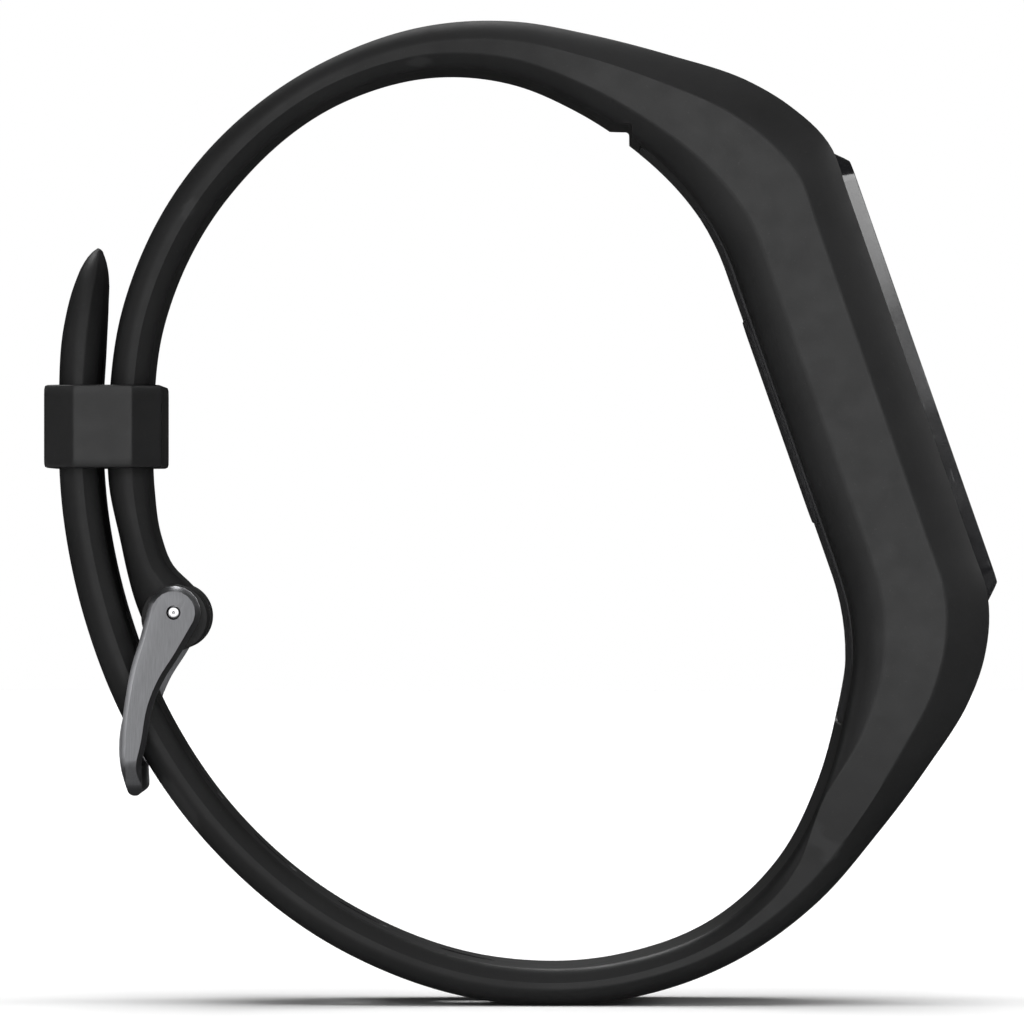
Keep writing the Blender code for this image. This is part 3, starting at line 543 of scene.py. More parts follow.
def cut_head(band):
    """The openings for the module, stepped from the wrist outwards, and the pry notch."""
    recess = curved_plate(
        COVER_HALF_LENGTH + COVER_GAP, COVER_HALF_WIDTH + COVER_GAP, COVER_CORNER + COVER_GAP,
        ((0.0, -RECESS_OVERSHOOT), (0.0, COVER_THICKNESS + GAP)))
    carve(band, module_object("cover_recess", recess))
    pocket = stack(
        ((0.0, POCKET_START), (0.0, BODY_TOP + GAP)), BODY_HALF_LENGTH + GAP,
        BODY_HALF_WIDTH + GAP, POCKET_CORNER)
    carve(band, module_object("body_pocket", pocket))
    plate = module_box("display_bezel")[1]
    rim = HEAD_FRONT - WINDOW_CHAMFER_DEPTH
    window = stack(
        ((0.0, WINDOW_START), (0.0, rim), (-WINDOW_FLARE, rim + WINDOW_FLARE)),
        plate.x + GAP, plate.y + GAP, WINDOW_CORNER)
    carve(band, module_object("plate_window", window))
    notch = stack(
        ((0.0, -PRY_NOTCH_REACH), (0.0, PRY_NOTCH_REACH)), *PRY_NOTCH_HALF_SIZE, PRY_NOTCH_CORNER,
        steps=4)
    place = Matrix.Translation(PRY_NOTCH_CENTRE) @ Matrix.Rotation(radians(90.0), 4, "X")
    carve(band, to_object("pry_notch", notch, place))


def make_band():
    band = to_object("band_silicone", loft(band_rings()))
    add_lug(band)
    cut_head(band)
    for step in range(-HOLES_TOWARDS_HEAD, HOLES_TOWARDS_TIP + 1):
        angle = HOLE_IN_USE_DEG - step * HOLE_PITCH_DEG
        length = HOLE_LENGTH
        if step == 0:
            angle -= HOLE_IN_USE_SHIFT_DEG
            length = HOLE_IN_USE_LENGTH
        carve(band, hole_cutter(angle, length))
    join_slivers(band)
    return shade(band, 34.0)


# ---------------------------------------------------------------- closure

KEEPER_LOW, KEEPER_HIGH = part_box("keeper_loop")
KEEPER_HOLE_LOW = Vector((-29.45, -7.95, 0.0)) * MM
KEEPER_HOLE_HIGH = Vector((-22.9, 7.95, 0.0)) * MM
KEEPER_FACET = (1.95 * MM, 1.5 * MM)
KEEPER_FACET_FILLET = 0.3 * MM
KEEPER_HOLE_CORNER = 1.5 * MM
KEEPER_EDGE = 0.5 * MM


def faceted_rect(half_u, half_y, cut_u, cut_y, fillet, steps=5):
    """(u, y) points round a rectangle whose corners are cut by slanted facets with soft edges."""
    slant = Vector((cut_u, cut_y)).normalized() * fillet
    quarter = arc_fillet(
        (half_u, half_y - cut_y), (half_u, half_y - cut_y - fillet),
        (half_u - slant.x, half_y - cut_y + slant.y), steps)
    quarter += arc_fillet(
        (half_u - cut_u, half_y), (half_u - cut_u + slant.x, half_y - slant.y),
        (half_u - cut_u - fillet, half_y), steps)
    left = [(-u, y) for u, y in reversed(quarter)]
    below = [(-u, -y) for u, y in quarter]
    right = [(u, -y) for u, y in reversed(quarter)]
    return quarter + left + below + right


def make_keeper():
    """A closed loop: rounded rectangles on its outside, then back along its inside."""
    middle, half = centre_and_half(KEEPER_LOW, KEEPER_HIGH)
    hole_middle, hole_half = centre_and_half(KEEPER_HOLE_LOW, KEEPER_HOLE_HIGH)
    low, high = KEEPER_LOW.z, KEEPER_HIGH.z
    edge = KEEPER_EDGE
    outer = arc_fillet((0.0, low), (edge, low), (0.0, low + 1.3 * edge))
    outer += arc_fillet((0.0, high), (0.0, high - 1.3 * edge), (edge, high))
    inner = [(inset * 0.7, height) for inset, height in reversed(outer)]
    rings = []
    for inset, height in outer:
        cut_u, cut_y = (cut - 0.4 * inset for cut in KEEPER_FACET)
        outline = faceted_rect(half.x - inset, half.y - inset, cut_u, cut_y, KEEPER_FACET_FILLET)
        rings.append([Vector((u + middle.x, y + middle.y, height)) for u, y in outline])
    for inset, height in inner:
        outline = rounded_rect(
            hole_half.x + inset, hole_half.y + inset, KEEPER_HOLE_CORNER + inset, 11)
        rings.append([Vector((u + hole_middle.x, y + hole_middle.y, height)) for u, y in outline])
    bm = loft(rings + [rings[0]], close=False)
    bmesh.ops.remove_doubles(bm, verts=bm.verts, dist=WELD_DISTANCE)
    bmesh.ops.recalc_face_normals(bm, faces=bm.faces)
    return shade(to_object("keeper_loop_silicone", bm))


# Side view of the arm and of the tongue from the pin: x, z and half thickness in millimetres.
ARM_PATH = (
    (0.0, 0.0, 1.75),
    (-0.9, -2.2, 1.42),
    (-1.72, -4.0, 1.15),
    (-2.3, -6.0, 0.93),
    (-2.65, -8.5, 0.83),
    (-2.82, -10.2, 0.65),
    (-2.6, -11.65, 0.48),
)
TONGUE_PATH = (
    (-0.2, -0.4, 0.9),
    (-0.95, -1.9, 0.5),
    (-1.9, -3.9, 0.38),
    (-2.95, -6.1, 0.36),
    (-3.48, -8.2, 0.35),
    (-3.48, -9.9, 0.35),
    (-3.2, -11.2, 0.33),
    (-2.85, -12.0, 0.28),
)
# The groove's clearance is in millimetres, as the tongue's path is.
TONGUE_GROOVE_CLEARANCE = 0.22
TONGUE_HALF_WIDTH = 0.8 * MM
TONGUE_ROUNDING = 0.13 * MM
KNUCKLE_RADIUS = 1.35 * MM
KNUCKLE_PROUD = 0.1 * MM
KNUCKLE_BORE_REACH = 3.0 * MM
FAR_LEFT = -40.0 * MM
FRAME_TOP = 4.0 * MM
FRAME_CORNER = 2.4 * MM
FRAME_ROUNDING = 0.07 * MM
FRAME_WINDOW_TOP = 10.0 * MM
FRAME_WINDOW_END = -10.0 * MM
FRAME_WINDOW_HALF_WIDTH = 7.85 * MM
FRAME_WINDOW_CORNER = 1.2 * MM
FRAME_STRAP_RADIUS = 28.7 * MM
FRAME_BORE_RADIUS = 0.47 * MM
FRAME_BORE_REACH = 12.0 * MM
CROSSBAR_TOP = -15.3 * MM
ARM_RIM_WIDTH = 0.33 * MM
ARM_RIM_DEPTH = 0.62 * MM
BAR_TIP_STEM = 0.45 * MM
BAR_TIP_PIVOT = 0.38 * MM
BAR_TIP_SHOULDER = 7.0 * MM


def smooth_path(path, per_span=4):
    """Points on a cubic curve through the path's stations."""
    values = np.array(path)
    lengths = np.linalg.norm(np.diff(values[:, :2], axis=0), axis=1)
    keys = np.concatenate([[0.0], np.cumsum(lengths)])
    places = [keys[0]]
    for start, end in zip(keys, keys[1:]):
        places += [start + (end - start) * step / per_span for step in range(1, per_span + 1)]
    return [along_curve(keys, values, place) for place in places]


def tapered_outline(path, spread=0.0, cap_steps=10):
    """Outline round a bent, tapering bar with round ends, as (x, z) in metres from the pin."""
    path = smooth_path(path)
    centres = [Vector((x, z)) for x, z, _ in path]
    halves = [half + spread for _, _, half in path]
    left = []
    right = []
    for index, centre in enumerate(centres):
        before = centres[max(index - 1, 0)]
        after = centres[min(index + 1, len(centres) - 1)]
        along = (after - before).normalized()
        side = Vector((along.y, -along.x))
        left.append(centre + side * halves[index])
        right.append(centre - side * halves[index])
    ring = list(left)
    ring += cap_points(centres[-1], left[-1], halves[-1], cap_steps)
    ring += list(reversed(right))
    ring += cap_points(centres[0], right[0], halves[0], cap_steps)
    return [(point.x * MM, point.y * MM) for point in ring]


def cap_points(centre, first, radius, steps):
    base = first - centre
    points = []
    for index in range(1, steps):
        turn = Matrix.Rotation(pi * index / steps, 2)
        points.append(centre + (turn @ base).normalized() * radius)
    return points


def side_loft(name, sections):
    """A solid through (x, z) outlines from the pin, each at its own y."""
    rings = [
        [Vector((PIN.x + x, y, PIN.z + z)) for x, z in outline] for outline, y in sections]
    return to_object(name, loft(rings))


def side_slab(name, outline, half_width):
    return side_loft(name, ((outline, -half_width), (outline, half_width)))


def arm_blank(low_y, high_y):
    """The arms' side view carried across the strap, with a steep rim round both outer faces."""
    levels = [(0.0, high_y - ARM_RIM_DEPTH), (-ARM_RIM_WIDTH, high_y)]
    levels = [(spread, low_y + high_y - y) for spread, y in reversed(levels)] + levels
    sections = [(tapered_outline(ARM_PATH, spread / MM), y) for spread, y in levels]
    return side_loft("buckle_frame_steel", sections)


def lying_block(name, low_z, high_z, half_y, corner, end_x, steps):
    """A block with rounded edges along X, from well to the left of the buckle to its end."""
    half_z = (high_z - low_z) / 2
    block = stack(((0.0, FAR_LEFT), (0.0, end_x)), half_z, half_y, corner, steps=steps)
    middle = Matrix.Translation((0.0, 0.0, (high_z + low_z) / 2))
    return to_object(name, block, middle @ Matrix.Rotation(radians(90.0), 4, "Y"))


def make_buckle_frame():
    low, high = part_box("buckle_frame")
    steel = arm_blank(low.y, high.y)
    shape = lying_block("frame_shape", low.z, FRAME_TOP, high.y, FRAME_CORNER, 0.0, 10)
    carve(steel, shape, "INTERSECT")
    window = lying_block(
        "frame_window", CROSSBAR_TOP, FRAME_WINDOW_TOP, FRAME_WINDOW_HALF_WIDTH,
        FRAME_WINDOW_CORNER, FRAME_WINDOW_END, 8)
    carve(steel, window)
    strap_path = plain_bar(
        "strap_path", FRAME_STRAP_RADIUS, FRAME_WINDOW_HALF_WIDTH, Vector(), 240)
    carve(steel, strap_path)
    groove = tapered_outline(TONGUE_PATH, TONGUE_GROOVE_CLEARANCE)
    carve(steel, side_slab("tongue_groove", groove, TONGUE_HALF_WIDTH + GAP))
    carve(steel, plain_bar("frame_bore", FRAME_BORE_RADIUS, FRAME_BORE_REACH, PIN))
    soften(steel, FRAME_ROUNDING, angle=25.0)
    return shade(steel)


def make_buckle_tongue():
    steel = side_slab("buckle_tongue_steel", tapered_outline(TONGUE_PATH), TONGUE_HALF_WIDTH)
    knuckle = plain_bar("knuckle", KNUCKLE_RADIUS, TONGUE_HALF_WIDTH + KNUCKLE_PROUD, PIN)
    carve(steel, knuckle, "UNION")
    carve(steel, plain_bar("knuckle_bore", LUG_BORE_RADIUS, KNUCKLE_BORE_REACH, PIN))
    soften(steel, TONGUE_ROUNDING)
    return shade(steel)


def make_bar_tip(name, node, sign):
    """The spring bar's stepped end, with a domed point and a shoulder."""
    low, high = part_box(node)
    end = high.y if sign > 0 else -low.y
    start = low.y if sign > 0 else -high.y
    stem, pivot, shoulder = BAR_TIP_STEM, BAR_TIP_PIVOT, BAR_TIP_SHOULDER
    profile = [(0.0, start), (stem - 0.08 * MM, start), (stem, start + 0.08 * MM)]
    profile += [(stem, shoulder - 0.05 * MM), (stem - 0.04 * MM, shoulder)]
    profile += [(pivot, shoulder + 0.01 * MM)]
    profile += arc_fillet((pivot, end), (pivot, end - 0.16 * MM), (pivot - 0.2 * MM, end), 6)
    profile += [(0.1 * MM, end), (0.07 * MM, end - 0.03 * MM), (0.0, end - 0.04 * MM)]
    if sign < 0:
        profile = [(radius, -height) for radius, height in profile]
    return shade(lathe_along_y(name, profile, PIN, 48), 40.0)


# ---------------------------------------------------------------- tracker module

BEZEL_BEVEL = 0.95 * MM
BEZEL_CORNER = 2.2 * MM
OPENING_FLARE = 0.5 * MM
LENS_CORNER = 0.85 * MM
LENS_GAP = 0.15 * MM
LENS_RIM_DEPTH = 0.06 * MM
LENS_OPENING_CORNER = 1.0 * MM
BUTTON_GAP = 0.25 * MM
BUTTON_RIM_DEPTH = 0.12 * MM
BUTTON_STEM_RADIUS = 0.9 * MM
BUTTON_FLANGE_HEIGHT = 28.65 * MM
BUTTON_DISH_DEPTH = 0.16 * MM
COVER_EDGE = 0.22 * MM
PAD_HALF_LENGTH = 7.2 * MM
PAD_HALF_WIDTH = 5.6 * MM
PAD_CORNER = 1.5 * MM
PAD_RISE = 0.15 * MM
PAD_BORDER = 0.9 * MM
PAD_INLAY_DEPTH = 0.06 * MM
PAD_INLAY_CORNER = 0.9 * MM
BOSS_RADIUS = 1.2 * MM
BOSS_HEIGHTS = (20.0 * MM, 20.8 * MM)
SCREWS = [f"back_screw_{index}" for index in (1, 2, 3, 4)]
SCREW_SEAT = 20.05 * MM
SCREW_HEAD_CLEARANCE = 0.1 * MM
SCREW_BORE_RADIUS = 0.6 * MM
SCREW_HOLE_HEIGHTS = (15.0 * MM, 24.0 * MM)
SCREW_CORE_RADIUS = 0.36 * MM
SCREW_CREST_RADIUS = 0.45 * MM
SCREW_PITCH = 0.4 * MM
SCREW_RECESS_DEPTH = 0.28 * MM
SCREW_SLOT_HALF_SIZE = (0.52 * MM, 0.12 * MM)
SCREW_SLOT_CORNER = 0.03 * MM


def make_display_bezel():
    """The plate with its bevelled edge, and its openings for the lens and for the button."""
    low, high = module_box("display_bezel")
    bevel = BEZEL_BEVEL
    knee = high.z - bevel
    levels = [(0.12 * MM, low.z), (0.03 * MM, low.z + 0.03 * MM), (0.0, low.z + 0.12 * MM)]
    levels += arc_fillet((0.0, knee), (0.0, knee - 0.06 * MM), (0.05 * MM, knee + 0.05 * MM), 3)
    levels += [(0.35 * MM, knee + 0.36 * MM), (0.65 * MM, knee + 0.67 * MM)]
    levels += arc_fillet(
        (bevel, high.z), (bevel - 0.1 * MM, high.z - 0.1 * MM), (bevel + 0.14 * MM, high.z))
    plate = stack(levels, high.x, high.y, BEZEL_CORNER, steps=10)
    bezel = module_object("display_bezel_gloss", plate)
    below = low.z - MM
    flare = OPENING_FLARE
    centre, half = centre_and_half(*module_box("display_lens"))
    rim = high.z - LENS_RIM_DEPTH
    opening = stack(
        ((-LENS_GAP, below), (-LENS_GAP, rim), (-LENS_GAP - flare, rim + flare)),
        half.x, half.y, LENS_OPENING_CORNER, centre)
    carve(bezel, module_object("lens_opening", opening))
    button_low, button_high = module_box("button_cap")
    radius = button_high.y + BUTTON_GAP
    rim = high.z - BUTTON_RIM_DEPTH
    profile = (
        (0.0, below), (radius, below), (radius, rim), (radius + flare, rim + flare),
        (0.0, rim + flare))
    middle = (button_low + button_high) / 2
    carve(bezel, module_object("button_opening", turned(profile), middle.x))
    return shade(bezel, 30.0)


def make_display_lens():
    low, high = module_box("display_lens")
    centre, half = centre_and_half(low, high)
    levels = [(0.05 * MM, low.z), (0.0, low.z + 0.05 * MM)]
    levels += arc_fillet((0.0, high.z), (0.0, high.z - 0.12 * MM), (0.16 * MM, high.z), 5)
    levels += [(0.6 * MM, high.z), (2.0 * MM, high.z)]
    pane = stack(levels, half.x, half.y, LENS_CORNER, centre)
    return shade(module_object("display_lens_smoked", pane))


def make_button():
    """A round cap with a soft rim and a shallow dish, on a flange and a stem."""
    low, high = module_box("button_cap")
    radius = high.y
    stem, flange = BUTTON_STEM_RADIUS, BUTTON_FLANGE_HEIGHT
    profile = [(0.0, low.z), (stem - 0.08 * MM, low.z), (stem, low.z + 0.08 * MM), (stem, flange)]
    profile += [(radius - 0.06 * MM, flange), (radius, flange + 0.06 * MM)]
    rim = radius - 0.3 * MM
    profile += arc_fillet((radius, high.z), (radius, high.z - 0.28 * MM), (rim, high.z), 6)
    dish = rim - 0.12 * MM
    for share in (1.0, 0.85, 0.7, 0.55, 0.4, 0.25, 0.1, 0.0):
        fall = BUTTON_DISH_DEPTH * (1.0 - share**2)
        profile.append((dish * share, high.z - fall - 0.02 * MM))
    centre = (low + high) / 2
    return shade(module_object("button_cap_gloss", turned(profile, 72), centre.x), 50.0)


def make_back_cover():
    """The curved cover with a raised pad and four sunk screw holes."""
    edge = COVER_EDGE
    levels = [(0.1 * MM, COVER_THICKNESS), (0.0, COVER_THICKNESS - 0.1 * MM)]
    levels += arc_fillet((0.0, 0.0), (0.0, edge), (edge, 0.0))
    plate = curved_plate(COVER_HALF_LENGTH, COVER_HALF_WIDTH, COVER_CORNER, levels)
    cover = module_object("back_cover_plastic", plate)
    face = COVER_OUTER - PAD_RISE
    pad = stack(
        ((0.12 * MM, face), (0.0, face + 0.1 * MM), (-0.02 * MM, COVER_OUTER + 0.3 * MM)),
        PAD_HALF_LENGTH, PAD_HALF_WIDTH, PAD_CORNER)
    carve(cover, module_object("label_pad", pad), "UNION")
    sink = PAD_INLAY_DEPTH
    inlay = stack(
        ((-sink, face - sink), (sink, face + sink)),
        PAD_HALF_LENGTH - PAD_BORDER, PAD_HALF_WIDTH - PAD_BORDER, PAD_INLAY_CORNER)
    carve(cover, module_object("pad_inlay", inlay))
    for name in SCREWS:
        centre, half = centre_and_half(*module_box(name))
        radius = half.x + SCREW_HEAD_CLEARANCE
        low, high = BOSS_HEIGHTS
        boss = [(0.0, low), (BOSS_RADIUS, low), (BOSS_RADIUS, high), (0.0, high)]
        boss = module_object("boss", turned(boss, 40), centre.x, centre.y)
        carve(cover, boss, "UNION")
        low, high = SCREW_HOLE_HEIGHTS
        profile = (
            (0.0, low), (radius, low), (radius, SCREW_SEAT), (SCREW_BORE_RADIUS, SCREW_SEAT),
            (SCREW_BORE_RADIUS, high), (0.0, high))
        hole = module_object("screw_hole", turned(profile, 48), centre.x, centre.y)
        carve(cover, hole)
    return shade(cover, 30.0)


def make_back_screw(node):
    """A small pan-head screw with a cross recess and a threaded shank."""
    low, high = module_box(node)
    centre, half = centre_and_half(low, high)
    radius = half.x
    head_back = SCREW_SEAT - 0.05 * MM
    core, crest, pitch = SCREW_CORE_RADIUS, SCREW_CREST_RADIUS, SCREW_PITCH
    face = low.z + 0.03 * MM
    profile = [(0.0, low.z), (radius * 0.5, low.z + 0.01 * MM)]
    profile += arc_fillet((radius, face), (radius * 0.75, face), (radius, low.z + 0.16 * MM))
    profile += [(radius, head_back), (core, head_back)]
    height = head_back + 0.5 * pitch
    while height < high.z - 1.2 * pitch:
        profile += [(core, height), (crest, height + 0.4 * pitch), (crest, height + 0.5 * pitch)]
        height += pitch
    profile += [(core, height), (core * 0.4, high.z), (0.0, high.z)]
    screw = module_object(node + "_steel", turned(profile, 40), centre.x, centre.y)
    spot = MODULE @ Matrix.Translation((centre.x, centre.y, 0.0))
    for turn in (20.0, 110.0):
        slot = stack(
            ((-0.02 * MM, low.z - 0.1 * MM), (0.05 * MM, low.z + SCREW_RECESS_DEPTH)),
            *SCREW_SLOT_HALF_SIZE, SCREW_SLOT_CORNER, steps=3)
        carve(screw, to_object("slot", slot, spot @ Matrix.Rotation(radians(turn), 4, "Z")))
    return shade(screw, 30.0)


# ---------------------------------------------------------------- procedural materials

MM_SCALE = (1000.0, 1000.0, 1000.0)
LYING_FLAT = (0.0, HEAD_TILT - pi / 2, 0.0)
PIXEL_PITCH = 0.14 * MM
LENS_BORDER = (1.3 * MM, 1.1 * MM)


def scaled(colour, factor, most=1.0):
    return tuple(min(factor * c, most) for c in colour)


def raised(colour, step):
    return tuple(c + step for c in colour)


def add_node(tree, kind, inputs=(), **settings):
    """A new node, with a value or another node's output for each of the inputs named."""
    node = tree.nodes.new(kind)
    for key, value in settings.items():
        setattr(node, key, value)
    for key, value in dict(inputs).items():
        if isinstance(value, bpy.types.NodeSocket):
            tree.links.new(value, node.inputs[key])
        else:
            node.inputs[key].default_value = value
    return node


class Nodes:
    """Small helper that adds and links the shader nodes of one material."""

    def __init__(self, name):
        self.material = bpy.data.materials.new(name)
        self.material.use_nodes = True
        self.tree = self.material.node_tree
        self.shader = self.tree.nodes["Principled BSDF"]
        self.object_space = self.add("ShaderNodeTexCoord").outputs["Object"]

    def add(self, kind, inputs=(), **settings):
        return add_node(self.tree, kind, inputs, **settings)

    def set(self, **values):
        for key, value in values.items():
            self.shader.inputs[key.replace("_", " ")].default_value = value

    def spot(self, scale=MM_SCALE, turn=(0.0, 0.0, 0.0)):
        """Object coordinates in millimetres, turned and stretched."""
        return self.add("ShaderNodeMapping", {
            "Vector": self.object_space, "Rotation": turn, "Scale": scale}).outputs["Vector"]

    def noise(self, vector, scale, detail=4.0, rough=0.55):
        return self.add("ShaderNodeTexNoise", {
            "Vector": vector, "Scale": scale, "Detail": detail,
            "Roughness": rough}).outputs["Fac"]

    def voronoi(self, vector, scale):
        return self.add(
            "ShaderNodeTexVoronoi", {"Vector": vector, "Scale": scale}).outputs["Distance"]

    def bricks(self, vector, scale, gap, offset, colours):
        """Cells in two colours and the lines between them in a third."""
        first, second, line = ((*colour, 1.0) for colour in colours)
        return self.add("ShaderNodeTexBrick", {
            "Vector": vector, "Scale": scale, "Mortar Size": gap, "Color1": first,
            "Color2": second, "Mortar": line}, offset=offset, squash=1.0).outputs

    def ramp(self, fac, low, high, first, second):
        """From the first colour or grey, at low and below, to the second, at high and above."""
        node = self.add("ShaderNodeValToRGB", {"Fac": fac})
        stops = zip(node.color_ramp.elements, (low, high), (first, second))
        for element, position, colour in stops:
            element.position = position
            if not isinstance(colour, tuple):
                colour = (colour, colour, colour)
            element.color = (*colour, 1.0)
        return node.outputs["Color"]

    def math(self, operation, first, second=0.0):
        return self.add(
            "ShaderNodeMath", {0: first, 1: second}, operation=operation).outputs["Value"]

    def mix(self, fac, first, second):
        """From the first colour to the second, each a tuple or a node's output."""
        sockets = ((0, fac), (6, first), (7, second))
        inputs = {
            key: (*value, 1.0) if isinstance(value, tuple) else value for key, value in sockets}
        return self.add("ShaderNodeMix", inputs, data_type="RGBA").outputs[2]

    def scratches(self, scale, turn, size, low, high):
        """1 on long thin scratches, 0 elsewhere."""
        return self.ramp(self.noise(self.spot(scale, turn), size, 2.0), low, high, 0.0, 1.0)

    def bump(self, *layers):
        """Chain of (height, strength, distance in mm) bumps into the shader's normal."""
        before = None
        for height, strength, distance in layers:
            inputs = {"Height": height, "Strength": strength, "Distance": distance * MM}
            if before is not None:
                inputs["Normal"] = before
            before = self.add("ShaderNodeBump", inputs).outputs["Normal"]
        self.tree.links.new(before, self.shader.inputs["Normal"])

    def colour(self, output):
        self.tree.links.new(output, self.shader.inputs["Base Color"])

    def worn_colour(self, output, worn, share, low=0.52, high=0.60):
        """Base colour that turns towards a worn one along the convex edges."""
        pointiness = self.add("ShaderNodeNewGeometry").outputs["Pointiness"]
        edges = self.math("MULTIPLY", self.ramp(pointiness, low, high, 0.0, 1.0), share)
        self.colour(self.mix(edges, output, worn))

    def roughness(self, output):
        self.tree.links.new(output, self.shader.inputs["Roughness"])


def silicone(name, low=0.009, high=0.013, grain=1.0, strap_roughness=0.0):
    """Soft black silicone: fine moulded grain, faint dust, slightly polished edges.

    The strap end, towards -X, is rougher than the head.
    """
    n = Nodes(name)
    spot = n.spot()
    dark = (low, low, low * 1.04)
    tone = n.ramp(n.noise(spot, 0.14, 3.0), 0.3, 0.7, dark, (high, high, high * 1.03))
    dust = n.ramp(n.noise(spot, 5.5, 2.0, 0.6), 0.66, 0.78, 0.0, 0.30)
    n.worn_colour(n.mix(dust, tone, (0.050, 0.049, 0.047)), (0.036, 0.036, 0.037), 0.35)
    parts = n.add("ShaderNodeSeparateXYZ", {"Vector": spot})
    strap = n.add("ShaderNodeMapRange", {
        "Value": parts.outputs["X"], "From Min": -4.0, "From Max": 12.0,
        "To Min": strap_roughness, "To Max": 0.0}, interpolation_type="SMOOTHSTEP")
    rough = n.ramp(n.noise(spot, 0.6, 4.0), 0.3, 0.7, 0.38, 0.46)
    n.roughness(n.math("ADD", rough, strap.outputs["Result"]))
    n.bump(
        (n.noise(spot, 0.9, 3.0), 0.25 * grain, 0.03),
        (n.noise(spot, 7.5, 3.0, 0.6), 0.35 * grain, 0.006),
        (n.voronoi(spot, 4.0), 0.12 * grain, 0.006))
    n.set(Specular_IOR_Level=0.5)
    return n.material


def brushed(name, colour, roughness, stretch, anisotropic=0.35, wear=0.25):
    """Metal with fine grinding lines along one axis, small scratches and bright worn edges."""
    n = Nodes(name)
    lines = n.noise(n.spot(tuple(1000.0 * k for k in stretch)), 1.0, 5.0, 0.65)
    blotch = n.noise(n.spot(), 0.35, 3.0)
    dark = scaled(colour, 0.86)
    base = n.ramp(lines, 0.35, 0.65, dark, scaled(colour, 1.08))
    base = n.mix(n.ramp(blotch, 0.4, 0.7, 0.0, 0.25), base, dark)
    n.worn_colour(base, scaled(colour, 1.5, 0.9), wear, 0.53, 0.62)
    n.roughness(n.math("ADD", n.math("MULTIPLY", lines, 0.14), roughness - 0.07))
    scratch = n.scratches((2600.0, 900.0, 300.0), (0.3, 0.5, 0.2), 1.0, 0.62, 0.66)
    n.bump((lines, 0.30, 0.004), (scratch, 0.10, 0.002), (blotch, 0.10, 0.01))
    n.set(Metallic=1.0, Anisotropic=anisotropic)
    return n.material


def gloss_plastic(name, colour=(0.010, 0.010, 0.011), roughness=0.08):
    """Polished moulded plastic: hairline scratches, faint smears and soft orange peel."""
    n = Nodes(name)
    smear = n.noise(n.spot((300.0, 300.0, 300.0), (0.2, 0.4, 0.1)), 0.7, 4.0)
    base = n.ramp(smear, 0.35, 0.75, colour, scaled(colour, 1.7))
    n.worn_colour(base, raised(colour, 0.03), 0.4, 0.53)
    scratch = n.scratches((420.0, 2600.0, 260.0), (0.0, 0.33, 0.6), 1.6, 0.66, 0.70)
    rough = n.ramp(smear, 0.3, 0.8, roughness, roughness + 0.07)
    n.roughness(n.math("ADD", rough, n.math("MULTIPLY", scratch, 0.10)))
    n.bump((n.noise(n.spot(), 0.8, 2.0), 0.06, 0.02), (scratch, 0.05, 0.001))
    n.set(Coat_Weight=0.25, Coat_Roughness=0.06)
    return n.material


def shell_plastic(name, colour=(0.018, 0.018, 0.020)):
    """Matt moulded plastic with a spark-eroded texture and polished edges."""
    n = Nodes(name)
    spot = n.spot()
    grain = n.noise(spot, 6.0, 5.0, 0.7)
    tone = n.ramp(n.noise(spot, 0.3, 3.0), 0.3, 0.7, colour, scaled(colour, 1.35))
    tone = n.mix(n.ramp(grain, 0.5, 0.75, 0.0, 0.3), tone, raised(colour, 0.012))
    n.worn_colour(tone, raised(colour, 0.03), 0.4)
    n.roughness(n.ramp(grain, 0.3, 0.7, 0.42, 0.58))
    n.bump((grain, 0.45, 0.008), (n.voronoi(spot, 5.0), 0.25, 0.008))
    return n.material


def smoked_lens(name):
    """Dark polished window: a slightly lighter active area of fine cells shows through it."""
    n = Nodes(name)
    centre, half = centre_and_half(*module_box("display_lens"))
    panel = n.add("ShaderNodeMapping", {
        "Vector": n.object_space, "Location": MODULE @ centre,
        "Rotation": MODULE.to_euler()}, vector_type="TEXTURE")
    parts = n.add("ShaderNodeSeparateXYZ", {"Vector": panel.outputs["Vector"]}).outputs
    masks = []
    for axis, reach, border in zip("XY", half, LENS_BORDER):
        inside = n.math("LESS_THAN", n.math("ABSOLUTE", parts[axis]), reach - border)
        wave = n.math("SINE", n.math("MULTIPLY", parts[axis], 2 * pi / PIXEL_PITCH))
        masks.append(n.math("MULTIPLY", inside, n.math("GREATER_THAN", wave, -0.75)))
    smear = n.noise(n.spot((400.0, 400.0, 400.0)), 0.6, 4.0)
    base = n.ramp(smear, 0.3, 0.8, (0.006, 0.006, 0.007), (0.012, 0.012, 0.013))
    n.colour(n.mix(n.math("MULTIPLY", *masks), base, (0.020, 0.023, 0.022)))
    n.roughness(n.ramp(smear, 0.35, 0.8, 0.045, 0.10))
    scratch = n.scratches((500.0, 2800.0, 300.0), (0.1, 0.3, 0.7), 1.5, 0.68, 0.71)
    n.bump((scratch, 0.05, 0.001))
    n.set(Coat_Weight=0.6, Coat_Roughness=0.03, IOR=1.5)
    return n.material


def circuit_board(name):
    """Green solder mask over copper traces, with small tinned pads."""
    n = Nodes(name)
    spot = n.spot(turn=LYING_FLAT)
    traces = n.bricks(spot, 0.9, 0.035, 0.5, (
        (0.010, 0.085, 0.032), (0.013, 0.100, 0.040), (0.030, 0.190, 0.070)))
    vias = n.ramp(n.voronoi(spot, 0.75), 0.10, 0.13, 1.0, 0.0)
    speck = n.noise(spot, 5.0, 3.0)
    patches = n.ramp(speck, 0.4, 0.8, 0.0, 0.3)
    base = n.mix(patches, traces["Color"], (0.02, 0.14, 0.06))
    n.colour(n.mix(vias, base, (0.62, 0.56, 0.40)))
    n.roughness(n.ramp(speck, 0.3, 0.7, 0.30, 0.42))
    n.bump((traces["Fac"], 0.3, 0.02), (vias, 0.4, 0.02))
    return n.material


